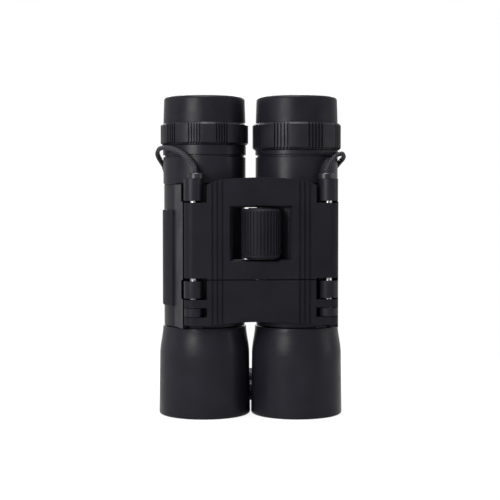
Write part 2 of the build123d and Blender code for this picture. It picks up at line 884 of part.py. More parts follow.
def build_side(side, ring_name, ring_r, ring_len, groups):
    """Write every piece of one half of the binoculars."""
    save(barrel_body(side), f"{side.name}_barrel_body")
    save(grip_pad(side), f"{side.name}_grip_pad")
    save(objective_tube(side), f"{side.name}_objective_tube")
    save(eyepiece_housing(side, ring_len), f"{side.name}_eyepiece_housing")
    save(grip_ring(side, ring_r, ring_len, groups), ring_name)
    save(eyecup(side), f"{side.name}_eyecup")
    save(ocular_cell(side), f"{side.name}_ocular_cell")
    save(strap_eye(side), f"{side.name}_strap_eye")
    save(hinge_pin(side), f"{side.name}_hinge_pin")
    for name, piece in optics(side).items():
        save(piece, f"{side.name}_{name}")


# Routes of the four thin strands, from the slot of a strap eye to a crimp on the floor behind
strand_routes = {
    "left_strap_cord_front": [
        (-19.42, -13.49, 81.35),
        (-19.42, -13.49, 84.0),
        (-20.6, -12.7, 85.8),
        (-22.4, -11.9, 87.9),
        (-24.5, -10.7, 89.6),
        (-26.8, -9.2, 90.6),
        (-29.4, -6.6, 91.3),
        (-31.3, -3.0, 91.1),
        (-32.2, 1.2, 90.0),
        (-32.0, 5.2, 88.3),
        (-31.2, 8.8, 86.2),
        (-29.9, 12.2, 83.7),
        (-28.0, 15.6, 77.0),
        (-26.4, 17.6, 69.0),
        (-25.0, 19.4, 57.0),
        (-24.4, 20.8, 41.5),
        (-24.2, 21.6, 25.5),
        (-24.2, 23.0, 11.5),
        (-24.2, 25.8, 3.9),
        (-24.2, 29.9, 1.6),
        (-24.2, 34.0, 1.6),
    ],
    "left_strap_cord_rear": [
        (-19.42, -11.69, 81.35),
        (-19.42, -11.69, 84.3),
        (-20.3, -10.6, 86.3),
        (-22.1, -9.9, 88.3),
        (-24.2, -8.7, 90.0),
        (-26.5, -7.1, 91.1),
        (-29.1, -3.9, 91.7),
        (-31.1, 2.8, 91.7),
        (-32.0, 8.8, 90.7),
        (-31.9, 12.8, 89.1),
        (-31.0, 15.6, 86.7),
        (-29.9, 17.9, 80.0),
        (-28.4, 19.3, 73.0),
        (-27.0, 20.4, 59.0),
        (-26.2, 21.2, 42.0),
        (-26.0, 21.7, 24.0),
        (-26.0, 22.6, 10.5),
        (-26.0, 25.0, 3.4),
        (-26.0, 29.4, 1.6),
        (-26.0, 34.0, 1.6),
    ],
    "right_strap_cord_front": [
        (24.18, -13.49, 81.35),
        (24.18, -13.49, 84.0),
        (25.1, -12.9, 85.8),
        (26.3, -12.1, 87.4),
        (27.7, -11.7, 88.7),
        (29.4, -10.2, 89.3),
        (31.0, -6.8, 88.9),
        (31.7, -2.2, 87.8),
        (31.8, 3.2, 86.3),
        (30.3, 9.4, 81.4),
        (28.4, 13.2, 75.0),
        (25.7, 16.6, 64.5),
        (24.5, 18.2, 48.0),
        (24.3, 18.9, 31.0),
        (24.2, 19.4, 16.0),
        (24.2, 20.6, 6.5),
        (24.2, 23.8, 2.2),
        (24.2, 28.9, 1.6),
        (24.2, 34.0, 1.6),
    ],
    "right_strap_cord_rear": [
        (24.18, -11.69, 81.35),
        (24.18, -11.69, 83.9),
        (25.5, -10.9, 86.0),
        (26.8, -9.9, 87.8),
        (28.6, -7.3, 89.1),
        (30.6, -2.6, 89.8),
        (32.4, 4.2, 89.7),
        (33.1, 8.8, 88.6),
        (32.9, 12.0, 86.9),
        (30.7, 14.6, 80.6),
        (29.2, 16.8, 73.0),
        (27.4, 18.2, 63.0),
        (26.3, 18.9, 49.0),
        (26.1, 19.3, 33.0),
        (26.0, 19.9, 18.0),
        (26.0, 21.4, 7.5),
        (26.0, 24.4, 2.4),
        (26.0, 29.2, 1.6),
        (26.0, 34.0, 1.6),
    ],
}


def bend_radii(points):
    """The largest bend that fits each corner of a route."""
    spots = [Vector(*point) for point in points]
    radii = []
    for before, corner, after in zip(spots, spots[1:], spots[2:]):
        turn = math.radians((corner - before).get_angle(after - corner))
        shorter = min((corner - before).length, (after - corner).length)
        radii.append(strand_bend * shorter / math.tan(turn / 2))
    return radii


def strap_cord(node, points):
    """One thin strand: a round cord along straight runs and tangent bends."""
    radii = bend_radii(points)
    with BuildPart() as cord:
        with BuildLine():
            path = FilletPolyline(*points, radius=radii)
        with BuildSketch(Plane(points[0], z_dir=path % 0)):
            Circle(strand_d / 2)
        sweep()
    length = path.length
    share = cord.part.volume / (math.pi * strand_d**2 / 4 * length)
    print(node, "length", round(length, 1), "volume share", round(share, 4))
    print(node, "tightest bend", round(min(radii), 2))
    return cord.part


# The coil: in on the floor, up a layer where the spiral turns back, and out again on top
crimp_x = coil_outer_r + coil_last_step * coil_pitch / 2
coil_centre = Vector(coil_outer_r - crimp_x, crimp_start_y + crimp_len + 2 * crimp_gap + coil_lead, 0)
coil_inner_r = coil_outer_r - coil_turns_in * coil_pitch
climb_end = coil_turns_in + 0.5
second_layer_end = climb_end + coil_turns_in
coil_end = second_layer_end + 0.5


def ease(share):
    """A smooth step from 0 to 1."""
    share = min(max(share, 0.0), 1.0)
    return share * share * (3 - 2 * share)


def coil_point(turn):
    """Where the neck cord runs after a number of turns."""
    if turn < coil_turns_in:
        radius = coil_outer_r - coil_pitch * turn
        rise = 0.0
    elif turn < climb_end:
        share = (turn - coil_turns_in) / (climb_end - coil_turns_in)
        radius = coil_inner_r - coil_dip * math.sin(math.pi * share)
        rise = ease(share)
    elif turn < second_layer_end:
        radius = coil_inner_r + coil_pitch * (turn - climb_end)
        rise = 1.0
    else:
        share = (turn - second_layer_end) / (coil_end - second_layer_end)
        radius = coil_outer_r + coil_last_step * coil_pitch * share
        rise = 1.0 - ease(2 * share - 1)
    angle = math.pi - 2 * math.pi * turn
    height = cord_rest_z + coil_layer_rise * rise
    return coil_centre + Vector(radius * math.cos(angle), radius * math.sin(angle), height)


def coil_heading(turn):
    """Direction of the neck cord after a number of turns."""
    step = 0.5 / coil_samples_per_turn
    return (coil_point(turn + step) - coil_point(turn - step)).normalized()


def biarc_middle(start, start_heading, end, end_heading):
    """Where two tangent arcs meet between two points with given headings, and the heading there."""
    gap = end - start
    both = start_heading + end_heading
    spread = 2 * (1 - start_heading.dot(end_heading))
    reach = (math.sqrt(gap.dot(both) ** 2 + spread * gap.dot(gap)) - gap.dot(both)) / spread
    first = start + start_heading * reach
    second = end - end_heading * reach
    return (first + second) * 0.5, (second - first).normalized()


def coil_self_gap():
    """Least room between the neck cord and itself, measured on points along it."""
    count = int(coil_end * coil_samples_per_turn)
    points = [coil_point(index * coil_end / count) for index in range(count + 1)]
    apart = coil_samples_per_turn // 2
    nearest = min(
        (points[i] - points[j]).length for i in range(count + 1) for j in range(i + apart, count + 1)
    )
    return nearest - neck_cord_d


def neck_cord():
    """Neck cord wound into a two-layer coil, with a straight end at each crimp."""
    lead = Vector(0, coil_lead, 0)
    quarters = int(coil_end * 4)
    spots = [coil_point(index / 4) for index in range(quarters + 1)]
    headings = [coil_heading(index / 4) for index in range(quarters + 1)]
    headings[0] = Vector(0, 1, 0)
    headings[-1] = Vector(0, -1, 0)
    with BuildPart() as cord:
        with BuildLine() as path:
            Line(spots[0] - lead, spots[0])
            for index in range(quarters):
                middle, middle_heading = biarc_middle(
                    spots[index], headings[index], spots[index + 1], headings[index + 1]
                )
                TangentArc(spots[index], middle, tangent=headings[index])
                TangentArc(middle, spots[index + 1], tangent=middle_heading)
            Line(spots[-1], spots[-1] - lead)
        with BuildSketch(Plane(spots[0] - lead, z_dir=(0, 1, 0))):
            Circle(neck_cord_d / 2)
        sweep()
    length = sum(edge.length for edge in path.edges())
    share = cord.part.volume / (math.pi * neck_cord_d**2 / 4 * length)
    print("neck_cord length", round(length, 1), "volume share", round(share, 4))
    print("neck_cord least gap to itself", round(coil_self_gap(), 2))
    return cord.part


def crimp(sign):
    """Crimped sleeve that joins two thin strands to the neck cord, flattened where it lies."""
    start = crimp_start_y + crimp_gap
    with BuildPart() as sleeve:
        with BuildSketch(Plane((sign * crimp_x, start, cord_rest_z), x_dir=(-1, 0, 0), z_dir=(0, 1, 0))):
            Circle(crimp_r)
            with Locations((0, cord_lift - cord_rest_z - crimp_r)):
                Rectangle(2 * crimp_r, 2 * crimp_r, mode=Mode.SUBTRACT)
        extrude(amount=crimp_len)
    return sleeve.part


os.makedirs("parts", exist_ok=True)
build_side(left, "left_eyepiece_ring", left_ring_r, left_ring_len, left_ring_groups)
build_side(right, "diopter_ring", right_ring_r, right_ring_len, right_ring_groups)
save(bridge_housing(), "bridge_housing")
save(bridge_back_cover(), "bridge_back_cover")
save(cover_screws(), "cover_screws")
save(focus_carrier(), "focus_carrier")
save(focus_nut(), "focus_nut")
save(focus_wheel(), "focus_wheel")
save(focus_screw(), "focus_screw")
save(wheel_washers(), "wheel_washers")
for cord_name, cord_route in strand_routes.items():
    save(strap_cord(cord_name, cord_route), cord_name)
save(crimp(-1), "left_cord_crimp")
save(crimp(1), "right_cord_crimp")
save(neck_cord(), "neck_cord")
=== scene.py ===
"""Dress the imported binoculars: black mouldings, grooved rubber, steel, glass and braided cord.

Metres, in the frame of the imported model: +Z along the barrels, the bridge in front (-Y).
"""

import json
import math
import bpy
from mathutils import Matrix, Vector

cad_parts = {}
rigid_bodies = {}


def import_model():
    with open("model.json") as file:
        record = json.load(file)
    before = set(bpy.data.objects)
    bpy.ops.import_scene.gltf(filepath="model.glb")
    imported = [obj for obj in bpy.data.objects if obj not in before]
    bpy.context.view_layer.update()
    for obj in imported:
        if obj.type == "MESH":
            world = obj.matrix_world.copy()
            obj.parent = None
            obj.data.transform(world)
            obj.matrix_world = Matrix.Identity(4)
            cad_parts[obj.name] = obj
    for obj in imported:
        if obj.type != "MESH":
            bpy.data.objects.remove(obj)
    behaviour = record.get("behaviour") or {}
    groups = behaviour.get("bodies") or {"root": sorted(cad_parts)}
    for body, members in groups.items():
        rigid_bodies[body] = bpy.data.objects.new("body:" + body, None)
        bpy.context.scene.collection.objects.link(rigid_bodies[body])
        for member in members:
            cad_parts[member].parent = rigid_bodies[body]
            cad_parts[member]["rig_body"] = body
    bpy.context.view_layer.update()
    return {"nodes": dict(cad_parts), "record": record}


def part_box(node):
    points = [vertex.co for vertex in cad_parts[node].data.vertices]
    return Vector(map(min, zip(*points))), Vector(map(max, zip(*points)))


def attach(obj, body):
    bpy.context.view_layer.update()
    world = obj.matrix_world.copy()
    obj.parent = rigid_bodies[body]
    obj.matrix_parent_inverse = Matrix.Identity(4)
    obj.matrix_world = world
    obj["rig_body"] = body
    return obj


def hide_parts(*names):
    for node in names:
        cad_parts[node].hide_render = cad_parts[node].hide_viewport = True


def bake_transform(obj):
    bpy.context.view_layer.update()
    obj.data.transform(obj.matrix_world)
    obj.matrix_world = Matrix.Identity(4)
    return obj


bl_info = {
    "name": "Compact Binoculars",
    "version": (1, 0, 0),
    "blender": (4, 5, 0),
    "location": "View3D > Sidebar > Binoculars",
    "description": "Builds the visible pieces, finishes and stage of a pair of compact binoculars",
    "category": "Object",
}

import bmesh
import bpy
from bpy.props import FloatProperty, FloatVectorProperty, IntProperty, PointerProperty
from mathutils import Matrix, Vector

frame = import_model()
nodes = frame["nodes"]
slot_of = {row["node"]: row["material_slot"] for row in frame["record"]["subparts"]}
mount_of = {mount["name"]: mount for mount in frame["record"]["mounts"]}

MM = 0.001
MERGE_DISTANCE = 1e-7
COPY_MERGE_DISTANCE = 0.5e-6
FLAT_ANGLE = math.radians(0.5)
SHARP_ANGLE = math.radians(32)
SIDES = ("left", "right")

# How finely round pieces are cut
EYECUP_STEPS = 160
BROW_SEGMENTS = 8
LIP_SEGMENTS = 5
WASHER_STEPS = 64
CRIMP_STEPS = 48
CRIMP_CUTS = 31
COLUMNS_PER_FLUTE = 4

# Edge rounds and clearances of small pieces
CRIMP_ROUND = 0.12 * MM
LIP_ROUND = 0.08 * MM
TIE_ROUND = 0.05 * MM
WASHER_GAP = 0.03 * MM
WHEEL_BORE_GAP = 0.05 * MM
TIE_FLOOR_GAP = 0.02 * MM

# The part of the noise textures that is stretched over a range, and the glass's index
NOISE_LOW = 0.3
NOISE_HIGH = 0.7
GLASS_IOR = 1.52

# Routes of the four thin strands in millimetres, from a strap eye round the barrel to a crimp
STRAND_ROUTES = {
    "left_strap_cord_front": (
        (-19.42, -13.49, 81.35), (-19.42, -13.49, 84), (-20.6, -12.7, 85.8),
        (-22.4, -11.9, 87.9), (-24.5, -10.7, 89.6), (-26.8, -9.2, 90.6),
        (-29.4, -6.6, 91.3), (-31.3, -3, 91.1), (-32.2, 1.2, 90),
        (-32, 5, 88.6), (-30.9, 8.7, 86.9), (-29.1, 12, 84.4),
        (-27.6, 15.5, 77), (-26.4, 17.6, 69), (-25, 19.4, 57),
        (-24.4, 20.8, 41.5), (-24.2, 21.6, 25.5), (-24.2, 23, 11.5),
        (-24.2, 25.8, 3.9), (-24.2, 29.9, 1.6), (-24.2, 34, 1.6),
    ),
    "left_strap_cord_rear": (
        (-19.42, -11.69, 81.35), (-19.42, -11.69, 84.3), (-20.3, -10.6, 86.3),
        (-22.1, -9.9, 88.3), (-24.2, -8.7, 90), (-26.5, -7.1, 91.1),
        (-29.1, -3.9, 91.7), (-31.1, 2.8, 91.7), (-32, 8.8, 90.7),
        (-31.7, 12.6, 89.2), (-30.4, 15.6, 87.2), (-28.8, 17.8, 82),
        (-27.9, 19.3, 73), (-27, 20.4, 59), (-26.2, 21.2, 42),
        (-26, 21.7, 24), (-26, 22.6, 10.5), (-26, 25, 3.4),
        (-26, 29.4, 1.6), (-26, 34, 1.6),
    ),
    "right_strap_cord_front": (
        (24.18, -13.49, 81.35), (24.18, -13.49, 84), (25.1, -12.9, 85.8),
        (26.3, -12.1, 87.4), (27.7, -11.7, 88.7), (29.4, -10.2, 89.3),
        (31, -6.8, 88.9), (31.6, -2.2, 88), (31.2, 3, 86.9),
        (29.5, 8.4, 84), (28, 13.2, 75), (25.7, 16.6, 64.5),
        (24.5, 18.2, 48), (24.3, 18.9, 31), (24.2, 19.4, 16),
        (24.2, 20.6, 6.5), (24.2, 23.8, 2.2), (24.2, 28.9, 1.6),
        (24.2, 34, 1.6),
    ),
    "right_strap_cord_rear": (
        (24.18, -11.69, 81.35), (24.18, -11.69, 83.9), (25.5, -10.9, 86),
        (26.8, -9.9, 87.8), (28.6, -7.3, 89.1), (30.6, -2.6, 89.8),
        (32.4, 4.2, 89.7), (33.1, 8.8, 88.6), (32.2, 11.8, 87.5),
        (30, 14.6, 84.2), (28.7, 16.8, 73), (27.4, 18.2, 63),
        (26.3, 18.9, 49), (26.1, 19.3, 33), (26, 19.9, 18),
        (26, 21.4, 7.5), (26, 24.4, 2.4), (26, 29.2, 1.6),
        (26, 34, 1.6),
    ),
}

# The braids: length of a step along the cord, yarns each way and length of a yarn's turn
STRAND_BRAID = (0.15 * MM, 4, 1.0 * MM)
NECK_BRAID = (0.3 * MM, 7, 1.9 * MM)
ROUTE_SMOOTHNESS = 24
CORD_ROUNDNESS = 6

# The put-away neck cord: in along the floor, up where the spiral turns back, out again on top
COIL_OUTER_R = 0.0223
COIL_PITCH = 0.0035
COIL_RISE = 0.0035
COIL_TURNS_IN = 2.75
COIL_TURN_BACK = 0.5
COIL_DIP = 0.0009
COIL_LAST_STEP = 1.6
COIL_LEAD = 0.006
COIL_POINTS_PER_TURN = 72
CORD_REST_Z = 0.0016

# The tie round the coil's stacked turns, towards +X, where they are lifted to let it pass under
TIE_INNER_R = 0.0117
TIE_OUTER_R = 0.0225
TIE_LIFT = 0.0004
TIE_LIFT_TURN = 0.5
TIE_BAND = 0.0003
TIE_WIDTH = 0.003
TIE_CORNER = 0.0013
TIE_STEPS = 8

# The photograph's camera
IMAGE_SIZE_PX = 500
CAMERA_FOCAL_PX = 1300.0
CAMERA_PLACE = (-0.03235, -0.4446, 0.0764)
CAMERA_TURN_DEG = -4.106
CAMERA_PITCH_DEG = 2.543
CAMERA_SENSOR_MM = 36.0
CAMERA_CLIP = (0.01, 20.0)

# The lamps, as name, place, side of the square and power in watts
LAMPS = (
    ("key_lamp", (-0.19, -0.24, 0.14), 0.12, 1.45),
    ("left_lamp", (-0.60, 0.06, 0.06), 0.26, 0.2),
    ("top_lamp", (-0.04, -0.10, 0.66), 0.30, 7.4),
    ("right_lamp", (0.50, -0.10, 0.03), 0.26, 0.8),
    ("back_lamp", (0.02, 0.48, 0.34), 0.34, 5.0),
)
LAMP_AIM = (0, 0, 0.055)
AMBIENT_LEVEL = 0.05

# The floor: half its side, its drop below the object and how it whitens away from the object
FLOOR_HALF_SIDE = 6.0
FLOOR_DROP = 0.02 * MM
FLOOR_WHITENS = {"From Min": 0.05, "From Max": 0.22, "To Min": 0.86, "To Max": 1.0}

# The objective tubes: outer wall, edge rounds and the cuts that keep the shoulder's crease narrow
OUTER_WALL_R = 0.014
FOOT_ROUND = 0.00085
RIM_ROUND = 0.00035
CREASE_CUTS = (-0.003, -0.0006, 0.0, 0.0006, 0.002, 0.0035, 0.005, 0.0065)


def metres(name, description, default, least=None):
    """A length in metres that a user can change."""
    limits = {} if least is None else {"min": least}
    return FloatProperty(
        name=name, description=description, default=default, unit="LENGTH", **limits
    )


def count_of(name, description, default, least):
    """A number of like features that a user can change."""
    return IntProperty(name=name, description=description, default=default, min=least)


def share_of(name, description, default, most):
    """A share of a size that a user can change."""
    return FloatProperty(
        name=name, description=description, default=default, min=0.0, max=most, subtype="FACTOR"
    )


def paint(name, description, default):
    """A colour that a user can change."""
    return FloatVectorProperty(
        name=name,
        description=description,
        default=default,
        size=3,
        min=0.0,
        max=1.0,
        subtype="COLOR",
    )


class BinocularSizes(bpy.types.PropertyGroup):
    """Sizes of the visible detail."""

    edge_round: metres(
        "Edge Round", "How far the edges of the mouldings are rounded over", 0.00014, 0.0
    )
    crease_height: metres(
        "Crease Height",
        "Height of the crease between an objective tube's hood and its shoulder",
        0.0214, 0.0,
    )
    crease_sink: metres("Crease Sink", "How far the crease lies inside the packed tube", 0.00008)
    hood_splay: metres(
        "Hood Splay", "How far the foot of the hood stands out from the packed tube", 0.00022
    )
    shoulder_top: metres(
        "Shoulder Top", "Height of the top of an objective tube's shoulder", 0.0306, 0.0
    )
    shoulder_rim: metres(
        "Shoulder Rim", "Radius of an objective tube at the top of its shoulder", 0.01427, 0.0
    )
    shoulder_swell: metres(
        "Shoulder Swell", "How far the shoulder swells out low down and draws in above", 0.00007
    )
    rim_sink: metres(
        "Rim Sink", "How far the rounded rim of the shoulder lies inside the packed tube", 0.0001
    )
    eyecup_brow: metres("Eyecup Brow", "Radius of the eyecup's outer top edge", 0.0012, 0.0)
    eyecup_lip: metres("Eyecup Lip", "Radius of the eyecup's inner top edge", 0.0005, 0.0)
    eyecup_draft: metres(
        "Eyecup Draft",
        "How much narrower the eyecup is at its top than at its foot, in radius",
        0.0003,
    )
    eyecup_wall: metres(
        "Eyecup Wall", "Wall of the eyecup where it grips its sleeve", 0.0015, 0.0005
    )
    eyecup_sleeve: metres(
        "Eyecup Sleeve", "Height of the sleeve that the eyecup is pushed over", 0.00355, 0.0
    )
    ring_chamfer: metres("Ring Chamfer", "Chamfer at both ends of an eyepiece ring", 0.0007, 0.0)
    ring_wall: metres("Ring Wall", "Wall of an eyepiece ring", 0.00245, 0.001)
    groove_depth: metres(
        "Groove Depth", "Depth of the fine grooves in an eyepiece ring", 0.00062, 0.0
    )
    grooves_in_group: count_of(
        "Grooves in Group", "Fine grooves in each group on an eyepiece ring", 5, 1
    )
    left_groups: count_of("Left Groups", "Groups of grooves round the left ring", 10, 1)
    right_groups: count_of("Right Groups", "Groups of grooves round the right ring", 8, 1)
    right_ring_turn: FloatProperty(
        name="Right Ring Turn",
        description="How far the right ring's groups are turned from the hinge direction",
        default=-0.2,
        subtype="ANGLE",
    )
    wheel_flutes: count_of("Wheel Flutes", "Flutes round the focus wheel", 36, 6)
    flute_depth: metres("Flute Depth", "Depth of the focus wheel's flutes", 0.0003, 0.0)
    wheel_chamfer: metres("Wheel Chamfer", "Chamfer at the top of the focus wheel", 0.0008, 0.0)
    wheel_foot: metres(
        "Wheel Foot", "Height of the plain rounded foot of the focus wheel", 0.0014, 0.0
    )
    top_washer: metres("Top Washer", "Radius of the washer above the focus wheel", 0.0043, 0.002)
    bottom_washer: metres(
        "Bottom Washer", "Radius of the washer below the focus wheel", 0.0051, 0.002
    )
    lip_overlap: metres(
        "Lip Overlap", "How far the lip reaches down behind the lower bridge", 0.0012, 0.0
    )
    lip_thick: metres(
        "Lip Thickness", "Thickness of the lip behind the bridge's parting line", 0.0007, 0.0001
    )
    lip_gap: metres(
        "Lip Gap", "Gap that the lip keeps to the plate, the cover and the shaft", 0.0001, 0.0
    )
    strand_diameter: metres(
        "Strand Diameter", "Thickness of the thin cord at the strap eyes", 0.0014, 0.0005
    )
    neck_diameter: metres("Neck Cord Diameter", "Thickness of the neck cord", 0.003, 0.001)
    braid_relief: share_of(
        "Braid Relief", "How deep the braid is, as a share of the cord's radius", 0.13, 0.4
    )
    crimp_pinch: share_of(
        "Crimp Pinch",
        "How far a crimp is squeezed in at its dents, as a share of its radius",
        0.14,
        0.5,
    )


class BinocularFinishes(bpy.types.PropertyGroup):
    """Colours of the finishes."""

    moulding: paint("Moulding", "Soft-touch black of the barrels", (0.0066, 0.0062, 0.0089))
    bridge: paint("Bridge", "Matte black of the bridge", (0.0053, 0.0050, 0.0070))
    rubber: paint("Rubber", "Black rubber of eyecups, rings and pads", (0.0058, 0.0055, 0.0077))
    steel: paint("Steel", "Steel of pins and screws", (0.30, 0.30, 0.31))
    dark_steel: paint("Dark Steel", "Blackened steel of the focus shaft", (0.012, 0.012, 0.014))
    brass: paint("Brass", "Brass of the focus nut", (0.72, 0.52, 0.22))
    inner_black: paint("Inner Black", "Light-trap black inside the barrels", (0.006, 0.006, 0.0065))
    cord: paint("Cord", "Black yarn of the cords", (0.0065, 0.0065, 0.0075))
    coating: paint("Coating", "Tint of the objective lens coating", (0.62, 0.50, 0.86))
    eyepiece_tint: paint("Eyepiece Tint", "Tint of the eyepiece lenses", (0.60, 0.67, 0.66))
    prism_tint: paint(
        "Prism Tint", "Tint of the prisms, which drink most stray light", (0.40, 0.46, 0.46)
    )
    floor: paint("Floor", "Pale floor", (0.86, 0.86, 0.86))


def place(name):
    """A new material with its node tree and its main shader."""
    material = bpy.data.materials.new(name)
    material.use_nodes = True
    tree = material.node_tree
    return material, tree, tree.nodes["Principled BSDF"]


def set_values(shader, values):
    """Set the values of a shader node's sockets."""
    for socket, value in values.items():
        shader.inputs[socket].default_value = value


def node(tree, kind, values=None, **settings):
    """Add a shader node, with values for its sockets and its own settings."""
    made = tree.nodes.new(kind)
    for setting, value in settings.items():
        setattr(made, setting, value)
    set_values(made, values or {})
    return made


def spread(tree, source, low, high):
    """Map the usual values of a noise onto a range."""
    limits = {"From Min": NOISE_LOW, "From Max": NOISE_HIGH, "To Min": low, "To Max": high}
    ranged = node(tree, "ShaderNodeMapRange", limits)
    tree.links.new(source, ranged.inputs["Value"])
    return ranged.outputs["Result"]


def noise(tree, size, detail=2.0, stretch=(1.0, 1.0, 1.0)):
    """Noise of a feature size in metres, fixed to the object."""
    where = node(tree, "ShaderNodeTexCoord")
    turn = node(tree, "ShaderNodeMapping", {"Scale": stretch})
    grain = node(tree, "ShaderNodeTexNoise", {"Scale": 1.0 / size, "Detail": detail})
    tree.links.new(where.outputs["Object"], turn.inputs["Vector"])
    tree.links.new(turn.outputs["Vector"], grain.inputs["Vector"])
    return grain.outputs["Fac"]


def mix_colours(tree, share, first, second):
    """Blend from a first colour to a second by a share; a colour may be a socket."""
    blend = node(tree, "ShaderNodeMix", data_type="RGBA")
    factor, start, end = (blend.inputs[number] for number in (0, 6, 7))
    tree.links.new(share, factor)
    for socket, colour in ((start, first), (end, second)):
        if isinstance(colour, bpy.types.NodeSocket):
            tree.links.new(colour, socket)
        else:
            socket.default_value = (*colour, 1.0)
    return blend.outputs[2]


def scaled(colour, level):
    """A colour made darker or brighter."""
    return [part * level for part in colour]


def shade(tree, shader, colour, source, low, high):
    """Let the base colour vary between two brightnesses of one colour."""
    share = spread(tree, source, 0.0, 1.0)
    mixed = mix_colours(tree, share, scaled(colour, low), scaled(colour, high))
    tree.links.new(mixed, shader.inputs["Base Color"])


def relief(tree, shader, source, depth):
    """Raise the surface by a texture, to a depth in metres."""
    bump = node(tree, "ShaderNodeBump", {"Strength": 1.0, "Distance": depth})
    tree.links.new(source, bump.inputs["Height"])
    tree.links.new(bump.outputs["Normal"], shader.inputs["Normal"])


def vary_roughness(tree, shader, source, low, high):
    """Let the roughness vary between two values."""
    tree.links.new(spread(tree, source, low, high), shader.inputs["Roughness"])


def moulded_black(name, colour, roughness, gloss, grain_size, grain_depth):
    """Black moulded plastic: fine grain, faint clouds in the colour, worn patches in the gloss."""
    material, tree, shader = place(name)
    shade(tree, shader, colour, noise(tree, 9 * MM), 0.86, 1.14)
    handled = noise(tree, 6 * MM, 4.0)
    vary_roughness(tree, shader, handled, roughness - 0.06, roughness + 0.06)
    shader.inputs["Specular IOR Level"].default_value = gloss
    relief(tree, shader, noise(tree, grain_size, 3.0), grain_depth)
    return material


def rubber_black(name, colour, roughness, gloss):
    """Black rubber: matte, with a fine skin, faint bloom and a few grains of dust."""
    material, tree, shader = place(name)
    base = noise(tree, 5 * MM, 3.0)
    specks = {"From Min": 0.70, "From Max": 0.76, "To Min": 0.0, "To Max": 0.35}
    dust = node(tree, "ShaderNodeMapRange", specks)
    tree.links.new(noise(tree, 0.45 * MM, 1.0), dust.inputs["Value"])
    share = spread(tree, base, 0.0, 1.0)
    bloom = mix_colours(tree, share, scaled(colour, 0.85), scaled(colour, 1.15))
    dusted = mix_colours(tree, dust.outputs["Result"], bloom, scaled(colour, 2.4))
    tree.links.new(dusted, shader.inputs["Base Color"])
    vary_roughness(tree, shader, base, roughness - 0.05, roughness + 0.08)
    shader.inputs["Specular IOR Level"].default_value = gloss
    relief(tree, shader, noise(tree, 0.16 * MM, 3.0), 0.006 * MM)
    return material


def drawn_metal(name, colour, roughness):
    """Bare or blackened metal with fine lines along its length."""
    material, tree, shader = place(name)
    lines = noise(tree, 0.12 * MM, 2.0, (1.0, 1.0, 0.04))
    shade(tree, shader, colour, lines, 0.9, 1.05)
    shader.inputs["Metallic"].default_value = 1.0
    vary_roughness(tree, shader, lines, roughness - 0.06, roughness + 0.1)
    relief(tree, shader, lines, 0.004 * MM)
    return material


def anodised_black(name, colour):
    """Black anodised metal of the lens cells and keepers, with fine turning lines."""
    material, tree, shader = place(name)
    rings = noise(tree, 0.25 * MM, 2.0, (0.05, 0.05, 1.0))
    shade(tree, shader, colour, rings, 0.8, 1.2)
    shader.inputs["Specular IOR Level"].default_value = 0.35
    vary_roughness(tree, shader, rings, 0.32, 0.45)
    relief(tree, shader, rings, 0.01 * MM)
    return material


def lens_glass(name, tint, clear):
    """Coated glass: clear, with a coloured sheen and the faintest haze of dust."""
    material, tree, shader = place(name)
    shade(tree, shader, tint, noise(tree, 7 * MM), 0.97, 1.0)
    set_values(shader, {"Transmission Weight": clear, "IOR": GLASS_IOR})
    set_values(shader, {"Specular Tint": (*tint, 1.0), "Coat Weight": 0.4, "Coat Roughness": 0.03})
    vary_roughness(tree, shader, noise(tree, 1.5 * MM, 4.0), 0.01, 0.05)
    return material


def braided_yarn(name, colour):
    """Braided cord: the base colour is painted lighter on each yarn's back as a painted highlight,
    and darker where it dives under as painted shade.
    """
    material, tree, shader = place(name)
    yarn = node(tree, "ShaderNodeAttribute", attribute_name="yarn")
    # Painted highlight on the yarn crests and painted shade in the dips, from the yarn height
    painted_yarn_light_and_shade = mix_colours(tree, yarn.outputs["Fac"], scaled(colour, 0.2), scaled(colour, 10.0))
    tree.links.new(painted_yarn_light_and_shade, shader.inputs["Base Color"])
    vary_roughness(tree, shader, noise(tree, 0.2 * MM), 0.6, 0.8)
    shader.inputs["Specular IOR Level"].default_value = 0.06
    relief(tree, shader, noise(tree, 0.07 * MM, 2.0), 0.008 * MM)
    return material


# Each slot's kind of finish, its colour and its values: roughness, gloss, size and depth of the
# grain for mouldings, roughness and gloss for rubber, roughness for metal, clearness for glass
FINISHES = {
    "barrel_plastic": (moulded_black, "moulding", 0.36, 0.08, 0.22 * MM, 0.010 * MM),
    "bridge_plastic": (moulded_black, "bridge", 0.50, 0.045, 0.20 * MM, 0.012 * MM),
    "eye_plastic": (moulded_black, "moulding", 0.34, 0.2, 0.3 * MM, 0.004 * MM),
    "crimp": (moulded_black, "moulding", 0.34, 0.35, 0.3 * MM, 0.004 * MM),
    "inner_plastic": (moulded_black, "inner_black", 0.8, 0.10, 0.25 * MM, 0.02 * MM),
    "grip_rubber": (rubber_black, "rubber", 0.52, 0.05),
    "ring_rubber": (rubber_black, "rubber", 0.42, 0.09),
    "eyecup_rubber": (rubber_black, "rubber", 0.38, 0.065),
    "wheel_rubber": (rubber_black, "rubber", 0.54, 0.045),
    "black_metal": (anodised_black, "inner_black"),
    "steel": (drawn_metal, "steel", 0.24),
    "dark_steel": (drawn_metal, "dark_steel", 0.55),
    "brass": (drawn_metal, "brass", 0.3),
    "objective_glass": (lens_glass, "coating", 0.9),
    "eyepiece_glass": (lens_glass, "eyepiece_tint", 0.9),
    "prism_glass": (lens_glass, "prism_tint", 0.96),
    "cord": (braided_yarn, "cord"),
}


def finish_of(slot):
    """The material of a slot of the record, made when it is first asked for."""
    name = f"finish_{slot}"
    found = bpy.data.materials.get(name)
    if found:
        return found
    make, colour, *values = FINISHES[slot]
    return make(name, getattr(bpy.context.scene.binocular_finishes, colour), *values)


def upright(name):
    """Axis, outer radius, bottom and top of a round upright node."""
    low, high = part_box(name)
    axis = Vector(((low.x + high.x) / 2, (low.y + high.y) / 2, 0))
    return axis, (high.x - low.x) / 2, low.z, high.z


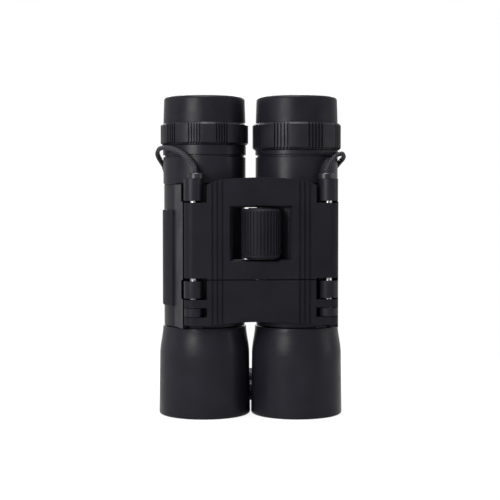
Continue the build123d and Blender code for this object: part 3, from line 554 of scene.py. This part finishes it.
def reach_of(vert, axis):
    """Distance of a vertex from an upright axis."""
    return (vert.co.xy - axis.xy).length


def move_to(vert, axis, radius):
    """Move a vertex straight out from or in to an upright axis."""
    flat = axis.xy + (vert.co.xy - axis.xy).normalized() * radius
    vert.co = (flat.x, flat.y, vert.co.z)


def lathe(bm, outline, axis, steps):
    """Spin a closed outline of (radius, height) corners round an upright axis."""
    corners = [bm.verts.new((axis.x + radius, axis.y, height)) for radius, height in outline]
    edges = [bm.edges.new(pair) for pair in zip(corners, corners[1:] + corners[:1])]
    bmesh.ops.spin(
        bm,
        geom=corners + edges,
        cent=axis,
        axis=(0, 0, 1),
        angle=math.tau,
        steps=steps,
        use_merge=True,
    )
    bmesh.ops.remove_doubles(bm, verts=bm.verts, dist=MERGE_DISTANCE)
    bmesh.ops.recalc_face_normals(bm, faces=bm.faces)


def round_rim(bm, axis, radius, height, size, segments):
    """Round over the circular edge at one radius and height."""
    near = 0.02 * MM

    def on_rim(vert):
        return abs(vert.co.z - height) < near and abs(reach_of(vert, axis) - radius) < near

    rim = [edge for edge in bm.edges if all(on_rim(vert) for vert in edge.verts)]
    bmesh.ops.bevel(
        bm, geom=rim, offset=size, segments=segments, profile=0.5, affect="EDGES", material=-1
    )


def sink_columns(bm, axis, floor_r, low, high, is_sunk):
    """Sink the chosen upright columns of an outer wall to a groove floor."""
    slack = 0.01 * MM
    sunk = []
    for face in bm.faces:
        middle = face.calc_center_median()
        on_wall = min(reach_of(vert, axis) for vert in face.verts) >= floor_r - slack
        if not (on_wall and low < middle.z < high):
            continue
        turn = math.atan2(middle.y - axis.y, middle.x - axis.x) % math.tau
        if is_sunk(turn):
            sunk.append(face)
    moved = bmesh.ops.extrude_face_region(bm, geom=sunk)
    bmesh.ops.delete(bm, geom=sunk, context="FACES")
    for vert in (part for part in moved["geom"] if isinstance(part, bmesh.types.BMVert)):
        move_to(vert, axis, floor_r)
    bmesh.ops.remove_doubles(bm, verts=bm.verts, dist=MERGE_DISTANCE)
    bmesh.ops.recalc_face_normals(bm, faces=bm.faces)


def link_object(name, data):
    """Put a new object with some data into the scene."""
    made = bpy.data.objects.new(name, data)
    bpy.context.scene.collection.objects.link(made)
    return made


def mesh_of(name, bm):
    """A new mesh of a bmesh, which is freed."""
    mesh = bpy.data.meshes.new(name)
    bm.to_mesh(mesh)
    bm.free()
    return mesh


def new_piece(name, bm, slot, bevel=0.0):
    """Make a piece of a bmesh, with a slot's finish and, where asked, rounded edges."""
    mesh = mesh_of(name, bm)
    mesh.shade_smooth()
    mesh.set_sharp_from_angle(angle=SHARP_ANGLE)
    mesh.materials.append(finish_of(slot))
    piece = link_object(name, mesh)
    if bevel > 0:
        rounding = piece.modifiers.new("rounded_edges", "BEVEL")
        rounding.width = bevel
        rounding.segments = 2
        rounding.limit_method = "ANGLE"
        rounding.angle_limit = SHARP_ANGLE
        rounding.harden_normals = True
    return piece


def set_piece(name, bm, standing_for, bevel=0.0):
    """Make a piece that takes the place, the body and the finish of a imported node."""
    piece = new_piece(name, bm, slot_of[standing_for], bevel)
    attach(piece, nodes[standing_for]["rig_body"])
    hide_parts(standing_for)
    return piece


def merged_copy(standing_for):
    """The shape of a packed moulding, merged into clean faces."""
    bm = bmesh.new()
    bm.from_mesh(nodes[standing_for].data)
    bmesh.ops.remove_doubles(bm, verts=bm.verts, dist=COPY_MERGE_DISTANCE)
    bmesh.ops.dissolve_limit(bm, angle_limit=FLAT_ANGLE, verts=bm.verts, edges=bm.edges)
    return bm


def soften(standing_for, bevel):
    """A copy of a packed moulding with its edges rounded over."""
    return set_piece(f"{standing_for}_moulding", merged_copy(standing_for), standing_for, bevel)


class MakeObjectiveTubes(bpy.types.Operator):
    """Draw the objective tubes out to a straight shoulder, a soft crease and a splayed hood"""

    bl_idname = "binoculars.objective_tubes"
    bl_label = "Objective Tubes"

    def execute(self, context):
        sizes = context.scene.binocular_sizes
        for side in SIDES:
            name = f"{side}_objective_tube"
            bm = merged_copy(name)
            low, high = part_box(name)
            tube_r = (high.x - low.x) / 2
            axis = Vector(((low.x + high.x) / 2, high.y - tube_r, 0))
            self.draw_out(bm, axis, tube_r, sizes)
            set_piece(f"{name}_moulding", bm, name, sizes.edge_round)
        return {"FINISHED"}

    def draw_out(self, bm, axis, tube_r, sizes):
        """Cut the tube near its crease and move its outer wall in or out."""
        slack = 0.05 * MM
        crease = sizes.crease_height
        for offset in CREASE_CUTS:
            everything = [*bm.verts, *bm.edges, *bm.faces]
            cut = (0, 0, crease + offset)
            bmesh.ops.bisect_plane(bm, geom=everything, plane_co=cut, plane_no=(0, 0, 1))
        foot_r = tube_r + sizes.hood_splay
        crease_r = tube_r - sizes.crease_sink
        rim_r = sizes.shoulder_rim
        top = sizes.shoulder_top
        for vert in bm.verts:
            height = vert.co.z
            reach = reach_of(vert, axis)
            if reach < OUTER_WALL_R or height > top + slack:
                continue
            if height < FOOT_ROUND:
                drawn = reach + sizes.hood_splay
            elif height > top - RIM_ROUND:
                drawn = reach - sizes.rim_sink
            elif height < crease:
                drawn = foot_r + (crease_r - foot_r) * height / crease
            else:
                share = (height - crease) / (top - crease)
                swell = sizes.shoulder_swell * math.sin(math.tau * share)
                drawn = crease_r + (rim_r - crease_r) * share + swell
            move_to(vert, axis, drawn)


class MakeMouldings(bpy.types.Operator):
    """Round the edges of the barrels, eyepiece housings, pads, strap eyes and bridge"""

    bl_idname = "binoculars.mouldings"
    bl_label = "Mouldings"

    def execute(self, context):
        sizes = context.scene.binocular_sizes
        for side in SIDES:
            for part in ("barrel_body", "eyepiece_housing", "grip_pad", "strap_eye"):
                soften(f"{side}_{part}", sizes.edge_round)
        for part in ("bridge_housing", "bridge_back_cover", "focus_carrier"):
            soften(part, sizes.edge_round)
        return {"FINISHED"}


class MakeEyecups(bpy.types.Operator):
    """Turn the two soft eyecups with their rounded brow"""

    bl_idname = "binoculars.eyecups"
    bl_label = "Eyecups"

    def execute(self, context):
        sizes = context.scene.binocular_sizes
        for side in SIDES:
            axis, foot_r, bottom, top = upright(f"{side}_eyecup")
            mouth_r = mount_of[f"{side}_eyecup_mouth"]["dims"]["r_mm"] * MM
            brow_r = foot_r - sizes.eyecup_draft
            grip_r = foot_r - sizes.eyecup_wall
            step = bottom + sizes.eyecup_sleeve
            bm = bmesh.new()
            lathe(bm, [
                (mouth_r, top),
                (brow_r, top),
                (foot_r, bottom),
                (grip_r, bottom),
                (grip_r, step),
                (mouth_r, step),
            ], axis, EYECUP_STEPS)
            round_rim(bm, axis, brow_r, top, sizes.eyecup_brow, BROW_SEGMENTS)
            round_rim(bm, axis, mouth_r, top, sizes.eyecup_lip, LIP_SEGMENTS)
            set_piece(f"{side}_eyecup_rubber", bm, f"{side}_eyecup", sizes.edge_round)
        return {"FINISHED"}


class MakeRings(bpy.types.Operator):
    """Turn the eyepiece rings and sink their groups of fine grooves"""

    bl_idname = "binoculars.rings"
    bl_label = "Eyepiece Rings"

    def execute(self, context):
        sizes = context.scene.binocular_sizes
        rings = (
            ("left", "left_eyepiece_ring", sizes.left_groups, 0.0),
            ("right", "diopter_ring", sizes.right_groups, sizes.right_ring_turn),
        )
        for side, name, groups, offset in rings:
            self.make_ring(side, name, groups, offset, sizes)
        return {"FINISHED"}

    def make_ring(self, side, name, groups, offset, sizes):
        """Turn one ring, with a group of grooves towards its hinge or turned from there."""
        axis, ring_r, bottom, top = upright(name)
        chamfer = sizes.ring_chamfer
        depth = sizes.groove_depth
        inner_r = ring_r - sizes.ring_wall
        floor_r = ring_r - depth
        columns = 4 * sizes.grooves_in_group
        outline = [
            (inner_r, bottom),
            (ring_r - chamfer, bottom),
            (floor_r, bottom + chamfer - depth),
            (ring_r, bottom + chamfer),
            (ring_r, top - chamfer),
            (floor_r, top - chamfer + depth),
            (ring_r - chamfer, top),
            (inner_r, top),
        ]
        bm = bmesh.new()
        lathe(bm, outline, axis, groups * columns)
        low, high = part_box(f"{side}_hinge_pin")
        hinge = (low + high) / 2
        centre = math.atan2(hinge.y - axis.y, hinge.x - axis.x) + offset
        group_turn = math.tau / groups
        last = 2 * sizes.grooves_in_group - 2

        def in_groove(turn):
            share = ((turn - centre) / group_turn + (last + 1) / 2 / columns) % 1
            column = int(share * columns)
            return column <= last and column % 2 == 0

        sink_columns(bm, axis, floor_r, bottom, top, in_groove)
        set_piece(f"{name}_rubber", bm, name)


class MakeFocusWheel(bpy.types.Operator):
    """Turn the focus wheel, with flutes that end in a plain rounded foot"""

    bl_idname = "binoculars.focus_wheel"
    bl_label = "Focus Wheel"

    def execute(self, context):
        sizes = context.scene.binocular_sizes
        axis, wheel_r, bottom, top = upright("focus_wheel")
        shaft_r = upright("focus_screw")[1] + WHEEL_BORE_GAP
        chamfer = sizes.wheel_chamfer
        depth = sizes.flute_depth
        floor_r = wheel_r - depth
        foot = bottom + sizes.wheel_foot
        bm = bmesh.new()
        lathe(bm, [
            (shaft_r, bottom),
            (wheel_r - chamfer, bottom),
            (wheel_r - chamfer / 3, bottom + sizes.wheel_foot / 3),
            (floor_r, foot - depth),
            (wheel_r, foot),
            (wheel_r, top - chamfer),
            (floor_r, top - chamfer + depth),
            (wheel_r - chamfer, top),
            (shaft_r, top),
        ], axis, COLUMNS_PER_FLUTE * sizes.wheel_flutes)
        flute_turn = math.tau / sizes.wheel_flutes

        def in_flute(turn):
            share = COLUMNS_PER_FLUTE * (turn % flute_turn) / flute_turn
            return int(share) % COLUMNS_PER_FLUTE in (1, 2)

        sink_columns(bm, axis, floor_r, foot - depth, top, in_flute)
        set_piece("focus_wheel_rubber", bm, "focus_wheel")
        return {"FINISHED"}


class MakeWheelWashers(bpy.types.Operator):
    """Cut the two wide washers that the focus wheel runs between"""

    bl_idname = "binoculars.wheel_washers"
    bl_label = "Wheel Washers"

    def execute(self, context):
        sizes = context.scene.binocular_sizes
        axis, _, wheel_foot, wheel_top = upright("focus_wheel")
        low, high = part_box("wheel_washers")
        bore = upright("focus_screw")[1] + WASHER_GAP
        seats = (
            (low.z + WASHER_GAP, wheel_foot - WASHER_GAP, sizes.bottom_washer),
            (wheel_top + WASHER_GAP, high.z - WASHER_GAP, sizes.top_washer),
        )
        bm = bmesh.new()
        for bottom, top, rim in seats:
            outline = [(bore, bottom), (rim, bottom), (rim, top), (bore, top)]
            lathe(bm, outline, axis, WASHER_STEPS)
        set_piece("wheel_washers_pair", bm, "wheel_washers", WASHER_GAP)
        return {"FINISHED"}


class MakeLightLip(bpy.types.Operator):
    """Fold the thin lip that closes the parting line of the bridge from behind"""

    bl_idname = "binoculars.light_lip"
    bl_label = "Light Lip"

    def execute(self, context):
        sizes = context.scene.binocular_sizes
        cover_low, cover_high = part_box("bridge_back_cover")
        front = cover_low.y + sizes.lip_gap
        rear = front + sizes.lip_thick
        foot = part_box("bridge_housing")[0].z - sizes.lip_overlap
        top = cover_low.z - sizes.lip_gap
        axis, shaft_r = upright("focus_screw")[:2]
        clear = shaft_r + sizes.lip_gap
        halves = ((cover_low.x, axis.x - clear), (axis.x + clear, cover_high.x))
        bm = bmesh.new()
        for left, right in halves:
            made = bmesh.ops.create_cube(bm, size=1.0)["verts"]
            bmesh.ops.scale(bm, vec=(right - left, rear - front, top - foot), verts=made)
            middle = ((left + right) / 2, (front + rear) / 2, (foot + top) / 2)
            bmesh.ops.translate(bm, vec=middle, verts=made)
        lip = new_piece("focus_carrier_light_lip", bm, "inner_plastic", LIP_ROUND)
        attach(lip, "focus_carrier")
        return {"FINISHED"}


def line_object(name, kind, points):
    """A line through points, as an object of its own: drawn smooth, or in straight runs."""
    curve = bpy.data.curves.new(name, "CURVE")
    curve.dimensions = "3D"
    curve.resolution_u = ROUTE_SMOOTHNESS
    spline = curve.splines.new(kind)
    spline.points.add(len(points) - 1)
    for control, spot in zip(spline.points, points):
        control.co = (*spot, 1.0)
    if kind == "NURBS":
        spline.order_u = 3
        spline.use_endpoint_u = True
    return link_object(name, curve)


def evaluated_mesh(made):
    """What an object looks like with everything on it worked out, as a new mesh."""
    bpy.context.view_layer.update()
    depsgraph = bpy.context.evaluated_depsgraph_get()
    return bpy.data.meshes.new_from_object(made.evaluated_get(depsgraph))


def run_length(path):
    """Length of a line of points."""
    return sum((after - before).length for before, after in zip(path, path[1:]))


def even_steps(path, step):
    """The same line in steps of equal length."""
    count = round(run_length(path) / step)
    stride = run_length(path) / count
    even = [path[0]]
    travelled = 0.0
    for before, after in zip(path, path[1:]):
        run = (after - before).length
        while len(even) < count and len(even) * stride <= travelled + run:
            even.append(before.lerp(after, (len(even) * stride - travelled) / run))
        travelled += run
    return [*even, path[-1]]


def braid(mesh, path, carriers, pitch, share):
    """Press a braid into a tube: two sets of yarns wind round it and cross each other."""
    sides = len(mesh.vertices) // len(path)
    stride = (path[1] - path[0]).length
    # The heights are kept as the yarn attribute, from which the cord's finish paints highlight on the
    # crests and shade in the dips
    heights = mesh.attributes.new("yarn", "FLOAT", "POINT")
    for number, vert in enumerate(mesh.vertices):
        middle = path[number // sides]
        turn = carriers * math.tau * (number % sides) / sides
        run = math.tau * (number // sides) * stride / pitch
        height = (0.5 + 0.5 * math.sin(turn + run)) * (0.5 + 0.5 * math.sin(turn - run))
        heights.data[number].value = height
        vert.co = middle + (vert.co - middle) * (1 - share * (1 - height))


def close_ends(mesh):
    """Cap the two open ends of a tube."""
    bm = bmesh.new()
    bm.from_mesh(mesh)
    bmesh.ops.holes_fill(bm, edges=[edge for edge in bm.edges if edge.is_boundary])
    bmesh.ops.recalc_face_normals(bm, faces=bm.faces)
    bm.to_mesh(mesh)
    bm.free()


def make_cord(standing_for, points, diameter, weave, relief_share):
    """A braided cord along a route in place of a packed one, with the points of its centre line."""
    name = f"{standing_for}_braid"
    step, carriers, pitch = weave
    smooth = line_object(f"{name}_route", "NURBS", points)
    path = even_steps([vert.co.copy() for vert in evaluated_mesh(smooth).vertices], step)
    bpy.data.objects.remove(smooth)
    run = line_object(f"{name}_run", "POLY", path)
    run.data.bevel_depth = diameter / 2
    run.data.bevel_resolution = CORD_ROUNDNESS
    mesh = evaluated_mesh(run)
    bpy.data.objects.remove(run)
    braid(mesh, path, carriers, pitch, relief_share)
    close_ends(mesh)
    mesh.name = name
    mesh.shade_smooth()
    mesh.materials.clear()
    mesh.materials.append(finish_of(slot_of[standing_for]))
    cord = link_object(name, mesh)
    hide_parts(standing_for)
    return cord, path


class MakeCrimps(bpy.types.Operator):
    """Press the two crimped sleeves where the thin strands meet the neck cord"""

    bl_idname = "binoculars.crimps"
    bl_label = "Cord Crimps"

    def execute(self, context):
        sizes = context.scene.binocular_sizes
        for side in SIDES:
            self.make_crimp(f"{side}_cord_crimp", sizes.crimp_pinch)
        return {"FINISHED"}

    def make_crimp(self, name, pinch):
        """Press one sleeve from a rod that lies on the floor."""
        low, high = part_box(name)
        radius = (high.x - low.x) / 2
        length = high.y - low.y
        bm = bmesh.new()
        bmesh.ops.create_cone(
            bm, cap_ends=True, segments=CRIMP_STEPS, radius1=radius, radius2=radius, depth=length
        )
        along = [edge for edge in bm.edges if edge.calc_length() > length / 2]
        bmesh.ops.subdivide_edges(bm, edges=along, cuts=CRIMP_CUTS)
        for vert in bm.verts:
            vert.co.y *= 1 - pinch * math.sin(math.tau * vert.co.z / length) ** 2
        lying = Matrix.Rotation(math.pi / 2, 3, "X")
        bmesh.ops.rotate(bm, cent=(0, 0, 0), matrix=lying, verts=bm.verts)
        middle = (low + high) / 2
        bmesh.ops.translate(bm, vec=(middle.x, middle.y, high.z - radius), verts=bm.verts)
        for vert in bm.verts:
            vert.co.z = max(vert.co.z, low.z)
        set_piece(f"{name}_sleeve", bm, name, CRIMP_ROUND)


class MakeStrapCords(bpy.types.Operator):
    """Lay the four thin braided strands from the strap eyes to the crimps"""

    bl_idname = "binoculars.strap_cords"
    bl_label = "Strap Cords"

    def execute(self, context):
        sizes = context.scene.binocular_sizes
        for name, route in STRAND_ROUTES.items():
            points = [[value * MM for value in point] for point in route]
            cord, path = make_cord(
                name, points, sizes.strand_diameter, STRAND_BRAID, sizes.braid_relief
            )
            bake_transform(cord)
        return {"FINISHED"}


def ease(share):
    """A smooth step from 0 to 1."""
    share = min(max(share, 0.0), 1.0)
    return share * share * (3 - 2 * share)


def coil_point(turn, centre):
    """Where the neck cord runs after a number of turns of its coil."""
    inner_r = COIL_OUTER_R - COIL_TURNS_IN * COIL_PITCH
    climb_end = COIL_TURNS_IN + COIL_TURN_BACK
    top_end = climb_end + COIL_TURNS_IN
    if turn < COIL_TURNS_IN:
        radius = COIL_OUTER_R - COIL_PITCH * turn
        rise = 0.0
    elif turn < climb_end:
        share = (turn - COIL_TURNS_IN) / COIL_TURN_BACK
        radius = inner_r - COIL_DIP * math.sin(math.pi * share)
        rise = ease(share)
    elif turn < top_end:
        radius = inner_r + COIL_PITCH * (turn - climb_end)
        rise = 1.0
    else:
        share = (turn - top_end) / COIL_TURN_BACK
        radius = COIL_OUTER_R + COIL_LAST_STEP * COIL_PITCH * share
        rise = 1.0 - ease(2 * share - 1)
    angle = math.pi - math.tau * turn
    height = CORD_REST_Z + COIL_RISE * rise
    if radius < TIE_OUTER_R:
        off_tie = abs((angle + math.pi) % math.tau - math.pi)
        height += TIE_LIFT * (1 - ease(off_tie / TIE_LIFT_TURN))
    return centre + Vector((radius * math.cos(angle), radius * math.sin(angle), height))


def coil_centre():
    """Middle of the put-away coil, from the end of the left crimp."""
    crimp_x = COIL_OUTER_R + COIL_LAST_STEP * COIL_PITCH / 2
    crimp_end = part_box("left_cord_crimp")[1].y + 0.05 * MM
    return Vector((COIL_OUTER_R - crimp_x, crimp_end + COIL_LEAD, 0))


class MakeCoilTie(bpy.types.Operator):
    """Bend the flat tie that holds the stacked turns of the put-away coil"""

    bl_idname = "binoculars.coil_tie"
    bl_label = "Coil Tie"

    def execute(self, context):
        centre = coil_centre()
        bottom = TIE_BAND + TIE_FLOOR_GAP
        top = 2 * CORD_REST_Z + COIL_RISE + TIE_LIFT
        corners = (
            (TIE_OUTER_R - TIE_CORNER, top - TIE_CORNER),
            (TIE_INNER_R + TIE_CORNER, top - TIE_CORNER),
            (TIE_INNER_R + TIE_CORNER, bottom + TIE_CORNER),
            (TIE_OUTER_R - TIE_CORNER, bottom + TIE_CORNER),
        )
        bm = bmesh.new()
        rails = []
        for bend, along in ((0, -0.5), (TIE_BAND, -0.5), (TIE_BAND, 0.5), (0, 0.5)):
            rail = []
            for quarter, (reach, height) in enumerate(corners):
                for step in range(TIE_STEPS + 1):
                    turn = (quarter + step / TIE_STEPS) * math.pi / 2
                    across = reach + (TIE_CORNER + bend) * math.cos(turn)
                    up = height + (TIE_CORNER + bend) * math.sin(turn)
                    rail.append(bm.verts.new(centre + Vector((across, along * TIE_WIDTH, up))))
            rails.append(rail)
        count = len(rails[0])
        for rail, neighbour in zip(rails, rails[1:] + rails[:1]):
            for index in range(count):
                after = (index + 1) % count
                bm.faces.new((rail[index], rail[after], neighbour[after], neighbour[index]))
        bmesh.ops.recalc_face_normals(bm, faces=bm.faces)
        tie = new_piece("neck_cord_tie", bm, "crimp", TIE_ROUND)
        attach(tie, "bridge")
        return {"FINISHED"}


class MakeNeckCord(bpy.types.Operator):
    """Wind the braided neck cord into its put-away coil"""

    bl_idname = "binoculars.neck_cord"
    bl_label = "Neck Cord"

    def execute(self, context):
        sizes = context.scene.binocular_sizes
        centre = coil_centre()
        turns = 2 * (COIL_TURNS_IN + COIL_TURN_BACK)
        count = round(turns * COIL_POINTS_PER_TURN)
        coil = [coil_point(turns * index / count, centre) for index in range(count + 1)]
        lead = Vector((0, COIL_LEAD, 0))
        points = [coil[0] - lead, *coil, coil[-1] - lead]
        cord, path = make_cord(
            "neck_cord", points, sizes.neck_diameter, NECK_BRAID, sizes.braid_relief
        )
        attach(cord, "bridge")
        return {"FINISHED"}


class FinishInnerPieces(bpy.types.Operator):
    """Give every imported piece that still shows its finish: pins, screws, glass, cells and prisms"""

    bl_idname = "binoculars.inner_pieces"
    bl_label = "Inner Pieces"

    def execute(self, context):
        for name, packed in nodes.items():
            finish = finish_of(slot_of[name])
            if packed.material_slots:
                packed.material_slots[0].material = finish
            else:
                packed.data.materials.append(finish)
        return {"FINISHED"}


class SetStage(bpy.types.Operator):
    """Set the pale floor, the white surroundings, the soft lamps and the photograph's camera"""

    bl_idname = "binoculars.stage"
    bl_label = "Stage"

    def execute(self, context):
        scene = context.scene
        scene.view_settings.view_transform = "Standard"
        self.set_world(scene)
        self.set_floor(scene)
        self.set_lamps()
        self.set_camera(scene)
        return {"FINISHED"}

    def seen_directly(self, tree, kinds):
        """1 for the named kinds of rays, and 0 for light that scatters."""
        path = node(tree, "ShaderNodeLightPath")
        seen = path.outputs[kinds[0]]
        for kind in kinds[1:]:
            either = node(tree, "ShaderNodeMath", operation="MAXIMUM")
            tree.links.new(seen, either.inputs[0])
            tree.links.new(path.outputs[kind], either.inputs[1])
            seen = either.outputs["Value"]
        return seen

    def set_world(self, scene):
        """White surroundings, dimmer where they only scatter light on the object."""
        world = bpy.data.worlds.new("white_surroundings")
        world.use_nodes = True
        scene.world = world
        tree = world.node_tree
        background = tree.nodes["Background"]
        background.inputs["Color"].default_value = (1.0, 1.0, 1.0, 1.0)
        level = node(tree, "ShaderNodeMapRange", {"To Min": AMBIENT_LEVEL, "To Max": 1.0})
        seen = self.seen_directly(tree, ("Is Camera Ray", "Is Glossy Ray", "Is Transmission Ray"))
        tree.links.new(seen, level.inputs["Value"])
        tree.links.new(level.outputs["Result"], background.inputs["Strength"])

    def set_floor(self, scene):
        """A wide pale floor: white where it is looked at, with the object's shadow close by."""
        bm = bmesh.new()
        bmesh.ops.create_grid(bm, x_segments=1, y_segments=1, size=FLOOR_HALF_SIDE)
        bmesh.ops.translate(bm, vec=(0, 0, -FLOOR_DROP), verts=bm.verts)
        mesh = mesh_of("floor", bm)
        floor = link_object("floor", mesh)
        material, tree, shader = place("floor_paper")
        shade(tree, shader, scene.binocular_finishes.floor, noise(tree, 0.3), 0.99, 1.0)
        set_values(shader, {"Roughness": 0.9, "Specular IOR Level": 0.1})
        glow = node(tree, "ShaderNodeEmission", {"Color": (1.0, 1.0, 1.0, 1.0), "Strength": 1.0})
        where = node(tree, "ShaderNodeTexCoord")
        reach = node(tree, "ShaderNodeVectorMath", operation="LENGTH")
        white = node(tree, "ShaderNodeMapRange", FLOOR_WHITENS)
        share = node(tree, "ShaderNodeMath", operation="MULTIPLY")
        mixed = node(tree, "ShaderNodeMixShader")
        output = tree.nodes["Material Output"]
        seen = self.seen_directly(tree, ("Is Camera Ray", "Is Glossy Ray"))
        for source, socket in (
            (where.outputs["Object"], reach.inputs[0]),
            (reach.outputs["Value"], white.inputs["Value"]),
            (seen, share.inputs[0]),
            (white.outputs["Result"], share.inputs[1]),
            (share.outputs["Value"], mixed.inputs[0]),
            (shader.outputs["BSDF"], mixed.inputs[1]),
            (glow.outputs["Emission"], mixed.inputs[2]),
            (mixed.outputs["Shader"], output.inputs["Surface"]),
        ):
            tree.links.new(source, socket)
        mesh.materials.append(material)

    def set_lamps(self):
        """A soft lamp close by on the left, one overhead, weak ones at the sides, one behind."""
        aim = Vector(LAMP_AIM)
        for name, spot, size, power in LAMPS:
            light = bpy.data.lights.new(name, "AREA")
            light.shape = "SQUARE"
            light.size = size
            light.energy = power
            lamp = link_object(name, light)
            lamp.location = spot
            lamp.rotation_euler = (aim - Vector(spot)).to_track_quat("-Z", "Y").to_euler()

    def set_camera(self, scene):
        """The camera of the photograph."""
        data = bpy.data.cameras.new("photo_camera")
        data.sensor_width = CAMERA_SENSOR_MM
        data.lens = data.sensor_width * CAMERA_FOCAL_PX / IMAGE_SIZE_PX
        data.clip_start, data.clip_end = CAMERA_CLIP
        camera = link_object("photo_camera", data)
        camera.location = CAMERA_PLACE
        pitch = math.radians(90 - CAMERA_PITCH_DEG)
        camera.rotation_euler = (pitch, 0, math.radians(CAMERA_TURN_DEG))
        scene.camera = camera


PIECE_OPERATORS = (
    MakeMouldings,
    MakeObjectiveTubes,
    MakeEyecups,
    MakeRings,
    MakeFocusWheel,
    MakeWheelWashers,
    MakeLightLip,
    MakeCrimps,
    MakeStrapCords,
    MakeCoilTie,
    MakeNeckCord,
    FinishInnerPieces,
    SetStage,
)


class BinocularPanel(bpy.types.Panel):
    """Buttons and sizes of the binoculars"""

    bl_idname = "VIEW3D_PT_binoculars"
    bl_label = "Binoculars"
    bl_space_type = "VIEW_3D"
    bl_region_type = "UI"
    bl_category = "Binoculars"

    def draw(self, context):
        for operator in PIECE_OPERATORS:
            self.layout.operator(operator.bl_idname)
        for group in (context.scene.binocular_sizes, context.scene.binocular_finishes):
            box = self.layout.box()
            for name in group.__annotations__:
                box.prop(group, name)


CLASSES = (BinocularSizes, BinocularFinishes, *PIECE_OPERATORS, BinocularPanel)


def register():
    for made in CLASSES:
        bpy.utils.register_class(made)
    bpy.types.Scene.binocular_sizes = PointerProperty(type=BinocularSizes)
    bpy.types.Scene.binocular_finishes = PointerProperty(type=BinocularFinishes)


def unregister():
    del bpy.types.Scene.binocular_finishes
    del bpy.types.Scene.binocular_sizes
    for made in reversed(CLASSES):
        bpy.utils.unregister_class(made)


def main():
    register()
    bpy.ops.binoculars.mouldings()
    bpy.ops.binoculars.objective_tubes()
    bpy.ops.binoculars.eyecups()
    bpy.ops.binoculars.rings()
    bpy.ops.binoculars.focus_wheel()
    bpy.ops.binoculars.wheel_washers()
    bpy.ops.binoculars.light_lip()
    bpy.ops.binoculars.crimps()
    bpy.ops.binoculars.strap_cords()
    bpy.ops.binoculars.coil_tie()
    bpy.ops.binoculars.neck_cord()
    bpy.ops.binoculars.inner_pieces()
    bpy.ops.binoculars.stage()


if __name__ == "__main__":
    main()
